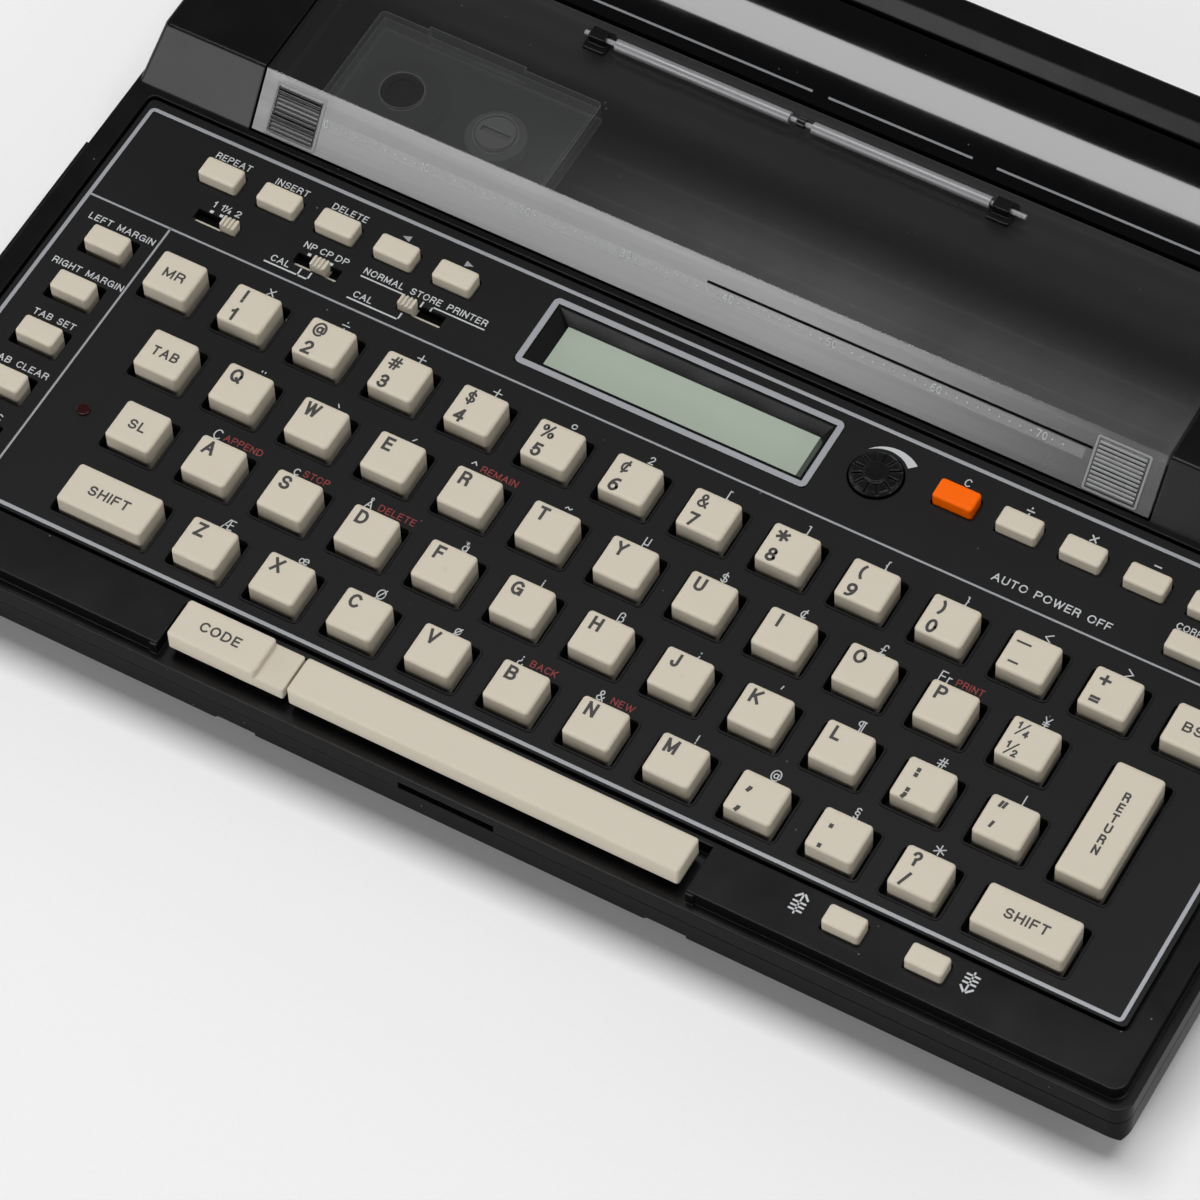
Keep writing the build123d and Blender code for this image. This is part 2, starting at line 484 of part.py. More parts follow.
def print_cover():
    t = COVER_T * sqrt(1 + SLOPE ** 2)
    points = [(cover_line(FOOT_Z), FOOT_Z), (TOWER_TOP_Y, TOWER_Z), (COVER_REAR_Y, TOWER_Z),
              (COVER_REAR_Y, TOWER_Z - COVER_T), (cover_line(TOWER_Z - COVER_T, t), TOWER_Z - COVER_T),
              (cover_line(FOOT_Z, t), FOOT_Z)]
    body = slab(COVER_X0, COVER_X1, points)
    for x0 in (COVER_X0, COVER_X1 - 2.6):
        body += bar_x(1.6, x0, x0 + 2.6, HINGE_Y, HINGE_Z)
        body -= bar_x(HINGE_R + RUN, x0 - 1, x0 + 3.6, HINGE_Y, HINGE_Z)
    # nine finger ribs at each end of the slanted face
    for x0 in (COVER_X0 + 4.5, COVER_X1 - 15.0):
        for i in range(9):
            z = FOOT_Z + 1.6 + i * 0.98
            y = cover_line(z)
            body += slab(x0, x0 + 10.5, [(y + 0.3, z), (y - 0.35, z + 0.2), (y + 0.05, z + 0.62), (y + 0.7, z + 0.7)])
    return body


BAIL_Y, BAIL_Z, BAIL_R = 64.5, TOWER_Z + 1.8, 0.6
BAIL_X0, BAIL_X1 = -67.0, 42.9
ROLLS = {"bail_roller_left": (-59.05, -15.25), "bail_roller_right": (-9.55, 34.3)}
CLIPS = (-63.5, 37.2)


def bail_clips():
    clips = []
    for x in CLIPS:
        body = block(x - 2.8, x + 2.8, BAIL_Y - 3.2, BAIL_Y + 3.2, TOWER_Z, TOWER_Z + 1.0, 0.6)
        body += block(x - 2.0, x + 2.0, BAIL_Y - 1.6, BAIL_Y + 1.6, TOWER_Z, BAIL_Z + 1.5, 0.3)
        clips.append(body - bar_x(BAIL_R, x - 5, x + 5, BAIL_Y, BAIL_Z))
    collar = bar_x(1.2, -13.4, -11.4, BAIL_Y, BAIL_Z) - bar_x(BAIL_R, -16, -9, BAIL_Y, BAIL_Z)
    return group(clips + [collar])


def bail_roller(x0, x1):
    body = bar_x(1.35, x0, x1, BAIL_Y, BAIL_Z) - bar_x(BAIL_R + RUN, x0 - 1, x1 + 1, BAIL_Y, BAIL_Z)
    return body


def hinge_pins():
    pins = []
    for wall, tip in ((BAY_X0, COVER_X0 + 2.3), (BAY_X1, COVER_X1 - 2.3)):
        pins.append(bar_x(HINGE_R, min(wall, tip), max(wall, tip), HINGE_Y, HINGE_Z))
    return group(pins)


# Paper path
def arc_z(y, radius):
    return GUIDE_CZ + sqrt(radius ** 2 - (y - GUIDE_CY) ** 2)


def paper_guide():
    x0, x1 = COVER_X0, COVER_X1
    ring = bar_x(GUIDE_R, x0, x1, GUIDE_CY, GUIDE_CZ)
    ring -= bar_x(GUIDE_R - GUIDE_T, x0 - 1, x1 + 1, GUIDE_CY, GUIDE_CZ)
    body = ring & block(x0 - 1, x1 + 1, GUIDE_Y0, GUIDE_Y1, 20, 40)
    middle = GUIDE_R - GUIDE_T / 2
    body += block(x0, x1, GUIDE_Y1 - GUIDE_T, GUIDE_Y1, 27.0, arc_z(GUIDE_Y1, middle))
    for rib in (x0 + 0.4, x1 - 2.4):
        web = bar_x(middle, rib, rib + 2.0, GUIDE_CY, GUIDE_CZ)
        body += web & block(rib - 1, rib + 3, 84.0, 100.0, FLOOR_Z, 40)
    return body


def platen_roller():
    body = bar_x(PLATEN_R, PLATEN_X0, PLATEN_X1, PLATEN_Y, PLATEN_Z)
    body = fillet(body.edges().filter_by(GeomType.CIRCLE), 0.5)
    return body + bar_x(AXLE_R, GEAR_X0 - 2.0, PLATE_RIGHT + PLATE_T + 1.5, PLATEN_Y, PLATEN_Z)


def spur_gear(tip, teeth, depth, x0, x1, y, z, bore, phase=0.0):
    """Gear along X with straight-flanked teeth."""
    body = bar_x(tip, x0, x1, 0, 0)
    gap = slab(x0 - 1, x1 + 1, [(-0.16 * depth, tip - depth), (0.16 * depth, tip - depth), (0.42, tip + 0.2),
                                (-0.42, tip + 0.2)])
    body -= [Rot(360.0 / teeth * i + phase, 0, 0) * gap for i in range(teeth)]
    return Pos(0, y, z) * (body - bar_x(bore, x0 - 1, x1 + 1, 0, 0))


def chassis():
    """Side plates, floor plate and front cowl that carry platen, rods and belt."""
    outline = [(20, FLOOR_Z), (20, 23.5), (25.5, 31.0), (76, 31.0), (76, 23.5), (82, 23.5), (82, FLOOR_Z)]
    body = slab(PLATE_LEFT, PLATE_LEFT + PLATE_T, outline) + slab(PLATE_RIGHT, PLATE_RIGHT + PLATE_T, outline)
    body += block(PLATE_LEFT, PLATE_RIGHT + PLATE_T, 20, 82, FLOOR_Z, FLOOR_Z + 1.5)
    body += block(PLATE_RIGHT, DRIVE_X + 11, 21.5, 38.6, FLOOR_Z, FLOOR_Z + 1.5)
    cowl = bar_x(19.4, PLATE_LEFT, PLATE_RIGHT + PLATE_T, 31.0, 2.6)
    cowl -= bar_x(18.2, PLATE_LEFT - 1, PLATE_RIGHT + 5, 31.0, 2.6)
    body += cowl & block(PLATE_LEFT, PLATE_RIGHT + PLATE_T, 18.5, 29.5, 12, 30)
    body += post(1.5, IDLER_X, BELT_Y, FLOOR_Z + 1.4, BELT_Z1 + 0.9)
    for y, z, r in RODS:
        body -= bar_x(r, PLATE_LEFT - 1, PLATE_RIGHT + 5, y, z)
    body -= bar_x(AXLE_R + RUN, PLATE_LEFT - 5, PLATE_RIGHT + 5, PLATEN_Y, PLATEN_Z)
    return body - block(PLATE_RIGHT - 1, PLATE_RIGHT + 3, BELT_Y - 7, BELT_Y + 7, FLOOR_Z + 2, BELT_Z1 + 1.5)


def carriage_rods():
    return group([bar_x(r, PLATE_LEFT - 0.8, PLATE_RIGHT + PLATE_T + 0.8, y, z) for y, z, r in RODS])


BLOCK_X0, BLOCK_X1 = CASS_X0 + 1.5, CASS_X1 - 1.5
CARRIAGE_TOP = CASS_Z0 - 0.8


def carriage_block():
    body = block(BLOCK_X0, BLOCK_X1, 34.0, 52.8, 12.6, CARRIAGE_TOP, 1.0)
    for y, z, r in RODS:
        body -= bar_x(r + RUN, BLOCK_X0 - 1, BLOCK_X1 + 1, y, z)
    belt_line = BELT_Y + BELT_R + BELT_T / 2
    body += block(-92, -80, belt_line - 1.9, belt_line + 1.9, 7.9, 12.8)
    body -= block(-93, -79, belt_line - 0.8, belt_line + 0.8, 7.0, BELT_Z1 + 0.4)
    for x, y in SPOOLS:
        body += post(1.6, x, y, CARRIAGE_TOP - 0.5, 27.2)
    for x in (BLOCK_X0 + 3, BLOCK_X1 - 3):
        body += block(x - 1.2, x + 1.2, 35, 51, CARRIAGE_TOP - 0.1, CASS_Z0 - SLIDE)
    return body


def print_head():
    head = block(-91.0, -80.2, 52.8, 56.3, 15.5, 22.5, 0.4)
    return head + block(-88.5, -82.7, 56.2, 56.45, 19.0, 22.0)


def cassette():
    x0, x1, y0, y1 = CASS_X0, CASS_X1, CASS_Y0, CASS_Y1
    body = block(x0, x1, y0, y1, CASS_Z0, CASS_Z1, 1.2)
    body += block(x0 + 12, x1 - 20, y1 - 3, y1 + 0.9, CASS_Z0, CASS_Z1)
    body -= block(x0 + CASS_T, x1 - CASS_T, y0 + CASS_T, y1 - CASS_T, CASS_Z0 + CASS_T, CASS_Z1 - CASS_T)
    for x, y in SPOOLS:
        body -= post(5.0, x, y, CASS_Z0 - 1, CASS_Z1 + 1)
    return body


def spool(x, y, pancake, slotted):
    z0, z1 = CASS_Z0 + CASS_T + 0.3, CASS_Z1 - CASS_T - 0.3
    body = post(pancake, x, y, z0, z1) + post(4.6, x, y, CASS_Z0 + 0.3, CASS_Z1 - 0.2)
    body -= post(1.6 + SLIDE, x, y, CASS_Z0 - 1, 27.8)
    if slotted:
        body -= block(x - 3.6, x + 3.6, y - 0.8, y + 0.8, CASS_Z1 - 0.9, CASS_Z1 + 1)
    else:
        body -= post(3.4, x, y, CASS_Z1 - 0.9, CASS_Z1 + 1)
    return body


def pulley(x, bore, teeth=24):
    body = post(BELT_R - 0.3, x, BELT_Y, BELT_Z0 - 0.3, BELT_Z1 + 0.3)
    body -= [Pos(x, BELT_Y, 0) * Rot(0, 0, 360 / teeth * i) * post(0.3, BELT_R - 0.3, 0, 8, 12)
             for i in range(teeth)]
    for z in (BELT_Z0 - 0.9, BELT_Z1 + 0.1):
        body += post(BELT_R + 0.5, x, BELT_Y, z, z + 0.7)
    return body - post(bore, x, BELT_Y, 6, 16)


def drive_belt():
    def loop(r):
        return post(r, IDLER_X, BELT_Y, BELT_Z0, BELT_Z1) + post(r, DRIVE_X, BELT_Y, BELT_Z0, BELT_Z1) + \
            block(IDLER_X, DRIVE_X, BELT_Y - r, BELT_Y + r, BELT_Z0, BELT_Z1)
    return loop(BELT_R + BELT_T) - loop(BELT_R)


def carriage_motor():
    body = post(9.0, DRIVE_X, BELT_Y, 13.4, 26.0) + post(1.25, DRIVE_X, BELT_Y, 7.2, 13.5)
    body = body + block(DRIVE_X - 4, DRIVE_X + 10.5, BELT_Y - 8, BELT_Y + 8, 13.2, 14.4)
    for y in (BELT_Y - 6.8, BELT_Y + 6.8):
        body += post(1.2, DRIVE_X + 9.0, y, FLOOR_Z + 1.5, 13.4)
    return body


def feed_motor():
    body = bar_x(9.5, -150.0, -137.0, PINION_Y, PINION_Z)
    body += bar_x(1.0, -137.5, GEAR_X1, PINION_Y, PINION_Z)
    return body + block(-149.0, -138.0, PINION_Y - 6, PINION_Y + 6, FLOOR_Z, PINION_Z - 6)


def batteries():
    cells = []
    for y in CELL_Y:
        body = bar_x(CELL_R, CELL_X0, CELL_X0 + CELL_L - 1.2, y, CELL_Z)
        cells.append(body + bar_x(2.6, CELL_X0 + CELL_L - 1.4, CELL_X0 + CELL_L, y, CELL_Z))
    return group(cells)


def battery_door():
    z0, z1 = FOOT_H + 0.2, FLOOR_Z - 0.2
    body = block(DOOR_X0, DOOR_X1, DOOR_Y0, DOOR_Y1, z0, z1)
    body += block(DOOR_X0, DOOR_X1, DOOR_Y0 - 1.7, DOOR_Y1 + 1.7, FOOT_H + 1.1, z1)
    body -= [block(DOOR_X1 - 3 - 1.6 * i, DOOR_X1 - 2.2 - 1.6 * i, 60, 80, z0 - 1, z0 + 0.4) for i in range(5)]
    return body


def rubber_feet():
    feet = []
    for x, y in FEET:
        body = block(x - 13, x + 13, y - 3.5, y + 3.5, 0, FOOT_H, 3.4)
        feet.append(body + post(1.9, x, y, FOOT_H - 0.1, FLOOR_Z + 0.6))
    return group(feet)


def case_screws():
    screws = []
    for x, y in SCREWS:
        body = post(2.6, x, y, FOOT_H + 0.2, FOOT_H + 1.6) + post(1.2, x, y, FOOT_H + 1.5, JOIN_Z + 4.5)
        body -= block(x - 1.8, x + 1.8, y - 0.35, y + 0.35, 0, FOOT_H + 0.9)
        body -= block(x - 0.35, x + 0.35, y - 1.8, y + 1.8, 0, FOOT_H + 0.9)
        screws.append(body)
    return group(screws)


def dc_jack():
    rear = HALF_D - 4.8
    body = block(120.5, 129.5, 102.0, rear, 6.6, 13.4)
    body += Pos(125, (rear + HALF_D) / 2, 10) * Rot(90, 0, 0) * Cylinder(3.4, HALF_D - rear)
    body -= Pos(125, HALF_D, 10) * Rot(90, 0, 0) * Cylinder(2.7, 20)
    body += Pos(125, HALF_D - 6.3, 10) * Rot(90, 0, 0) * Cylinder(0.8, 8)
    return body + block(122, 128, 102.5, 107, FLOOR_Z, 6.7)


save(lower_shell(), "bottom_case")
save(upper_shell(), "top_case")
save(panel(), "keyboard_panel")
save(guide_plate(), "key_guide_plate")
save(contact_sheet(), "contact_sheet")
save(circuit_board(), "main_board")
save(bezel(), "display_bezel")
save(display(), "display_panel")
save(lamp(), "power_lamp")
save(contrast_dial(), "contrast_dial")
for slider_name, places in SLOTS.items():
    save(slider(*places), slider_name)
for key_name, keys in TALL.items():
    save(group([tall_key(*k) for k in keys]), key_name)
for key_name, keys in SMALL.items():
    save(group([small_key(*k) for k in keys]), key_name)
save(space_bar(), "space_bar")
save(code_key(), "code_key")
save(print_cover(), "print_cover")
save(hinge_pins(), "cover_hinge_pins")
save(bar_x(BAIL_R, BAIL_X0, BAIL_X1, BAIL_Y, BAIL_Z), "bail_shaft")
save(bail_clips(), "bail_clips")
for roll_name, (r0, r1) in ROLLS.items():
    save(bail_roller(r0, r1), roll_name)
save(paper_guide(), "paper_guide")
save(platen_roller(), "platen_roller")
save(spur_gear(GEAR_R, GEAR_N, 0.9, GEAR_X0, GEAR_X1, PLATEN_Y, PLATEN_Z, AXLE_R), "platen_gear")
save(spur_gear(PINION_R, PINION_N, 0.9, GEAR_X0, GEAR_X1, PINION_Y, PINION_Z, 1.0 + RUN), "feed_pinion")
save(feed_motor(), "feed_motor")
save(chassis(), "carriage_frame")
save(carriage_rods(), "carriage_rods")
save(carriage_block(), "carriage_block")
save(print_head(), "print_head")
save(cassette(), "ribbon_cassette")
save(spool(*SPOOLS[0], 10.5, False), "supply_spool")
save(spool(*SPOOLS[1], 7.0, True), "takeup_spool")
save(carriage_motor(), "carriage_motor")
save(pulley(DRIVE_X, 1.25 + RUN), "drive_pulley")
save(pulley(IDLER_X, 1.5 + RUN), "idler_pulley")
save(drive_belt(), "drive_belt")
save(batteries(), "batteries")
save(battery_door(), "battery_door")
save(rubber_feet(), "rubber_feet")
save(case_screws(), "case_screws")
save(dc_jack(), "dc_jack")
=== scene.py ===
"""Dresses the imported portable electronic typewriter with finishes, lettering and fine trim.

Sizes are written in millimetres in the part's own frame (+X to the typist's right, +Y to the rear, +Z up)
and are turned into metres where a mesh is made.
"""

import json
import logging
import math
from dataclasses import dataclass, field
from enum import Enum
from typing import Optional, Sequence

import bmesh
import bpy
from mathutils import Matrix, Vector

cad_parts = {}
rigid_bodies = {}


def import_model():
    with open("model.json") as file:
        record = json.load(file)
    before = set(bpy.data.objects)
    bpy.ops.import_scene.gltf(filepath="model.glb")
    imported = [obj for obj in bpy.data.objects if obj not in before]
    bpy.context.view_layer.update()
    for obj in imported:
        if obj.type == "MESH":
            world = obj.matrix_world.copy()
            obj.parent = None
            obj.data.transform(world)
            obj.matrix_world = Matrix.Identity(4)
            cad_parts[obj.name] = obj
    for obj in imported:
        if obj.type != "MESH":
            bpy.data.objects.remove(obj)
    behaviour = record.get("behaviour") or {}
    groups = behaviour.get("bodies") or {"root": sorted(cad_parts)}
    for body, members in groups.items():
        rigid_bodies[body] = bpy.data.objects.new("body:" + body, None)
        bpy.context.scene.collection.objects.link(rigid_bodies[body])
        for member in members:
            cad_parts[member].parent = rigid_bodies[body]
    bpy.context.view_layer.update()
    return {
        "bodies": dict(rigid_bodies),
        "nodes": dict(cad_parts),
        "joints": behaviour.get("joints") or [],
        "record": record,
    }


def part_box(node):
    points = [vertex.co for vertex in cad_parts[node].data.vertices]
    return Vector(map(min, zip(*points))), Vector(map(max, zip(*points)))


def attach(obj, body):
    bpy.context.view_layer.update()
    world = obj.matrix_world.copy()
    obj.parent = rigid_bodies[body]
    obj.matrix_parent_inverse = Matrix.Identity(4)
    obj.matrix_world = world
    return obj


log = logging.getLogger("typewriter")

MM = 0.001
Point = tuple[float, float]
Rgba = tuple[float, float, float, float]

# Heights of the printed surfaces, and the middle of each row's first key
PANEL_Z = 23.35
KEY_Z = 27.45
PITCH = 19.05
ROW_Y = (-30.3, -49.35, -68.4, -87.45)
ROW_X = (-97.9, -88.375, -83.61, -74.09)

WHITE = (1.0, 1.0, 1.0, 1.0)
DUST = (0.45, 0.44, 0.42, 1.0)


class Ink(Enum):
    """Which ink a printed mark is drawn in, as the material index on its piece."""

    WHITE = 0
    RED = 1
    SILVER = 2


def tint(red: int, green: int, blue: int) -> Rgba:
    """Turns a screen colour into the linear colour that shaders use.

    Args:
        red: Red, 0 to 255.
        green: Green, 0 to 255.
        blue: Blue, 0 to 255.

    Returns:
        The linear colour with full alpha.
    """
    def linear(level: int) -> float:
        """One channel, linear."""
        part = level / 255.0
        return part / 12.92 if part <= 0.04045 else ((part + 0.055) / 1.055) ** 2.4

    return (linear(red), linear(green), linear(blue), 1.0)


# Shader effects that several finishes share


class Graph:
    """Short way to add and join nodes in one node tree."""

    def __init__(self, tree: bpy.types.NodeTree) -> None:
        """Keeps the tree that the nodes go into."""
        self.tree = tree

    def add(self, kind: str, inputs: Optional[dict] = None, **settings: object) -> bpy.types.Node:
        """Adds a node.

        Args:
            kind: The node's type name without its ShaderNode prefix.
            inputs: What each of its sockets gets, by name or number: another socket or a plain value.
            **settings: Node properties.

        Returns:
            The new node.
        """
        node = self.tree.nodes.new("ShaderNode" + kind)
        for name, value in settings.items():
            setattr(node, name, value)
        for name, value in (inputs or {}).items():
            self.join(value, node.inputs[name])
        return node

    def join(self, source: object, target: bpy.types.NodeSocket) -> None:
        """Links a socket to another one, or sets it to a plain value."""
        if isinstance(source, bpy.types.NodeSocket):
            self.tree.links.new(source, target)
        else:
            target.default_value = source

    def math(self, operation: str, first: object, second: object = 0.0,
             clamp: bool = False) -> bpy.types.NodeSocket:
        """Adds a Math node.

        Args:
            operation: The Math node's operation.
            first: Socket or number.
            second: Socket or number.
            clamp: Whether the result is held between 0 and 1.

        Returns:
            The result socket.
        """
        return self.add("Math", {0: first, 1: second}, operation=operation, use_clamp=clamp).outputs[0]

    def mix(self, factor: bpy.types.NodeSocket, low: object, high: object) -> bpy.types.NodeSocket:
        """Blends two colours by a mask.

        Args:
            factor: Mask from 0 to 1.
            low: Colour, or socket, where the mask is 0.
            high: Colour, or socket, where the mask is 1.

        Returns:
            The blended colour socket.
        """
        return self.add("Mix", {0: factor, 6: low, 7: high}, data_type="RGBA").outputs[2]

    def ramp(self, value: bpy.types.NodeSocket, reach: Point, levels: Point = (0.0, 1.0),
             curve: str = "LINEAR") -> bpy.types.NodeSocket:
        """Turns a value into a level between two ends.

        Args:
            value: What the level follows.
            reach: The value at each end.
            levels: The level at each end.
            curve: How it goes from one to the other.

        Returns:
            The level's socket.
        """
        ends = {"Value": value, "From Min": reach[0], "From Max": reach[1], "To Min": levels[0],
                "To Max": levels[1]}
        return self.add("MapRange", ends, interpolation_type=curve).outputs[0]

    def place(self) -> bpy.types.NodeSocket:
        """The object coordinates."""
        return self.add("TexCoord").outputs["Object"]


def blank(name: str, colour: Rgba = WHITE) -> tuple[bpy.types.Material, Graph, bpy.types.NodeSocket]:
    """Starts an empty material.

    Args:
        name: The material's name.
        colour: Its plain colour, for views without shading.

    Returns:
        The material, its graph and the socket for its surface.
    """
    material = bpy.data.materials.new(name)
    material.use_nodes = True
    material.diffuse_color = colour
    material.node_tree.nodes.clear()
    g = Graph(material.node_tree)
    return material, g, g.add("OutputMaterial").inputs["Surface"]


class Effects:
    """Builds the shader node groups that several finishes share. Rates are per metre."""

    # Patchiness and gain of the edge mask, which lightens edges: partly real wear, partly a painted
    # highlight where edges catch the light.
    RUB_RATE = 420.0
    RUB_GAIN = 5.0
    SPECK_RATE = 260.0
    SPECK_RADIUS = 0.055
    PATCH_RATE = 90.0
    PATCH_LEVEL = 0.6
    DRAWN = (0.03, 1.0, 1.0)

    def __init__(self) -> None:
        """Makes each group once."""
        self.grain = self._moulded_grain()
        self.edges = self._edge_wear()
        self.handling = self._handling()
        self.brushed = self._brushed_lines()

    @staticmethod
    def _group(name: str, inputs: Sequence[tuple[str, float]], outputs: Sequence[tuple[str, str]]) -> tuple:
        """Makes an empty group with named sockets.

        Args:
            name: The group's name.
            inputs: Names and starting values of its number inputs.
            outputs: Names and kinds of its outputs.

        Returns:
            The group, its graph, its input node and its output node.
        """
        tree = bpy.data.node_groups.new(name, "ShaderNodeTree")
        for label, value in inputs:
            socket = tree.interface.new_socket(label, in_out="INPUT", socket_type="NodeSocketFloat")
            socket.default_value = value
        for label, kind in outputs:
            tree.interface.new_socket(label, in_out="OUTPUT", socket_type="NodeSocket" + kind)
        return tree, Graph(tree), tree.nodes.new("NodeGroupInput"), tree.nodes.new("NodeGroupOutput")

    def _moulded_grain(self) -> bpy.types.NodeTree:
        """Spark-eroded mould texture as a height.

        Returns:
            The group, with the grain size in metres as its input.
        """
        tree, g, source, sink = self._group("moulded_grain", [("Size", 0.0004)], [("Height", "Float")])
        place = g.place()
        rate = g.math("DIVIDE", 1.0, source.outputs["Size"])
        coarse = g.math("MULTIPLY", rate, 0.55)
        fine = g.add("TexNoise", {"Vector": place, "Scale": rate, "Detail": 2.0, "Roughness": 0.6})
        pits = g.add("TexVoronoi", {"Vector": place, "Scale": coarse, "Smoothness": 0.6},
                     feature="SMOOTH_F1")
        bumps = g.math("MULTIPLY", fine.outputs[0], 0.65)
        hollows = g.math("MULTIPLY", pits.outputs[0], 0.35)
        g.join(g.math("ADD", bumps, hollows), sink.inputs["Height"])
        return tree

    def _edge_wear(self) -> bpy.types.NodeTree:
        """Rounded-edge normal and a mask of the edges: partly real rubbed wear, partly a painted highlight
        where edges catch the light.

        Returns:
            The group, with the edge radius in metres as its input.
        """
        tree, g, source, sink = self._group("edge_wear", [("Radius", 0.0003)],
                                            [("Normal", "Vector"), ("Mask", "Float")])
        bevel = g.add("Bevel", {"Radius": source.outputs["Radius"]}, samples=4).outputs[0]
        true = g.add("NewGeometry").outputs["True Normal"]
        agree = g.add("VectorMath", {0: bevel, 1: true}, operation="DOT_PRODUCT").outputs["Value"]
        turned = g.math("MULTIPLY", g.math("SUBTRACT", 1.0, agree), self.RUB_GAIN)
        rubbed = g.add("TexNoise", {"Vector": g.place(), "Scale": self.RUB_RATE, "Detail": 3.0})
        patchy = g.math("ADD", g.math("MULTIPLY", rubbed.outputs[0], 0.8), 0.35)
        g.join(bevel, sink.inputs["Normal"])
        g.join(g.math("MULTIPLY", turned, patchy, clamp=True), sink.inputs["Mask"])
        return tree

    def _handling(self) -> bpy.types.NodeTree:
        """Finger smudges and settled dust specks.

        Returns:
            The group, with the smudge size in metres and the share of dust as inputs.
        """
        tree, g, source, sink = self._group("handling", [("Size", 0.02), ("Dust", 0.5)],
                                            [("Smudge", "Float"), ("Specks", "Float")])
        place = g.place()
        rate = g.math("DIVIDE", 1.0, source.outputs["Size"])
        broad = g.add("TexNoise", {"Vector": place, "Scale": rate, "Detail": 4.0, "Roughness": 0.62,
                                   "Distortion": 0.4})
        cells = g.add("TexVoronoi", {"Vector": place, "Scale": self.SPECK_RATE})
        gaps = g.add("TexNoise", {"Vector": place, "Scale": self.PATCH_RATE, "Detail": 2.0})
        dot = g.math("LESS_THAN", cells.outputs["Distance"], self.SPECK_RADIUS)
        few = g.math("GREATER_THAN", gaps.outputs[0], self.PATCH_LEVEL)
        specks = g.math("MULTIPLY", g.math("MULTIPLY", dot, few), source.outputs["Dust"])
        g.join(broad.outputs[0], sink.inputs["Smudge"])
        g.join(specks, sink.inputs["Specks"])
        return tree

    def _brushed_lines(self) -> bpy.types.NodeTree:
        """Fine lines along X, as drawn or ground metal shows.

        Returns:
            The group, with the line spacing in metres as its input.
        """
        tree, g, source, sink = self._group("brushed_lines", [("Size", 0.0002)], [("Height", "Float")])
        drawn = g.add("Mapping", {"Vector": g.place(), "Scale": self.DRAWN}).outputs[0]
        rate = g.math("DIVIDE", 1.0, source.outputs["Size"])
        lines = g.add("TexNoise", {"Vector": drawn, "Scale": rate, "Detail": 3.0, "Roughness": 0.7})
        g.join(lines.outputs[0], sink.inputs["Height"])
        return tree


# Finishes


@dataclass(frozen=True)
class Finish:
    """A solid finish: moulded plastic, rubber, metal, ink or ribbon.

    The sizes are in metres. lift is how far the edges go towards the edge colour, partly real rubbed wear
    and partly a painted highlight where edges catch the light, and wall_specular is the share of the gloss
    that upright faces keep.
    """

    name: str
    colour: Rgba
    edge: Rgba
    roughness: float = 0.45
    spread: float = 0.08
    metallic: float = 0.0
    grain: float = 0.0004
    depth: float = 0.00002
    radius: float = 0.0003
    lift: float = 0.3
    dust: float = 0.25
    smudge: float = 0.02
    variation: float = 0.12
    coat: float = 0.0
    coat_roughness: float = 0.05
    specular: float = 0.5
    subsurface: float = 0.0
    wall_specular: float = 1.0
    brushed: bool = False

    SCATTER = (0.0012, 0.0008, 0.0004)
    SMUDGES = (0.25, 0.75)
    WALLS = (0.1, 0.5)

    def make(self, effects: Effects) -> bpy.types.Material:
        """Builds the material.

        Args:
            effects: The shared shader groups.

        Returns:
            The finished material.
        """
        material, g, surface = blank(self.name, self.colour)
        texture = effects.brushed if self.brushed else effects.grain
        grain = g.add("Group", {"Size": self.grain}, node_tree=texture).outputs["Height"]
        worn_lit_edges = g.add("Group", {"Radius": self.radius}, node_tree=effects.edges)
        hand = g.add("Group", {"Size": self.smudge, "Dust": self.dust}, node_tree=effects.handling)
        smudge = hand.outputs["Smudge"]
        shade = tuple(c * (1.0 - self.variation) for c in self.colour[:3]) + (1.0,)
        base = g.mix(smudge, shade, self.colour)
        # Painted highlight and real wear: the edge mask lifts the colour towards the edge colour.
        base = g.mix(g.math("MULTIPLY", worn_lit_edges.outputs["Mask"], self.lift), base, self.edge)
        base = g.mix(hand.outputs["Specks"], base, DUST)
        levels = (max(0.02, self.roughness - self.spread), min(1.0, self.roughness + self.spread))
        rough = g.ramp(smudge, self.SMUDGES, levels)
        bump = g.add("Bump", {"Height": grain, "Normal": worn_lit_edges.outputs["Normal"], "Strength": 1.0,
                              "Distance": self.depth})
        body = g.add("BsdfPrincipled", {
            "Base Color": base, "Roughness": rough, "Metallic": self.metallic, "Normal": bump.outputs[0],
            "Specular IOR Level": self.specular, "Coat Weight": self.coat,
            "Coat Roughness": self.coat_roughness})
        if self.wall_specular < 1.0:
            normal = g.add("NewGeometry").outputs["True Normal"]
            up = g.math("ABSOLUTE", g.add("SeparateXYZ", {0: normal}).outputs["Z"])
            level = g.ramp(up, self.WALLS, (self.specular * self.wall_specular, self.specular))
            g.join(level, body.inputs["Specular IOR Level"])
        if self.subsurface:
            g.join(self.subsurface, body.inputs["Subsurface Weight"])
            g.join(self.SCATTER, body.inputs["Subsurface Radius"])
            g.join(1.0, body.inputs["Subsurface Scale"])
        g.join(body.outputs[0], surface)
        return material


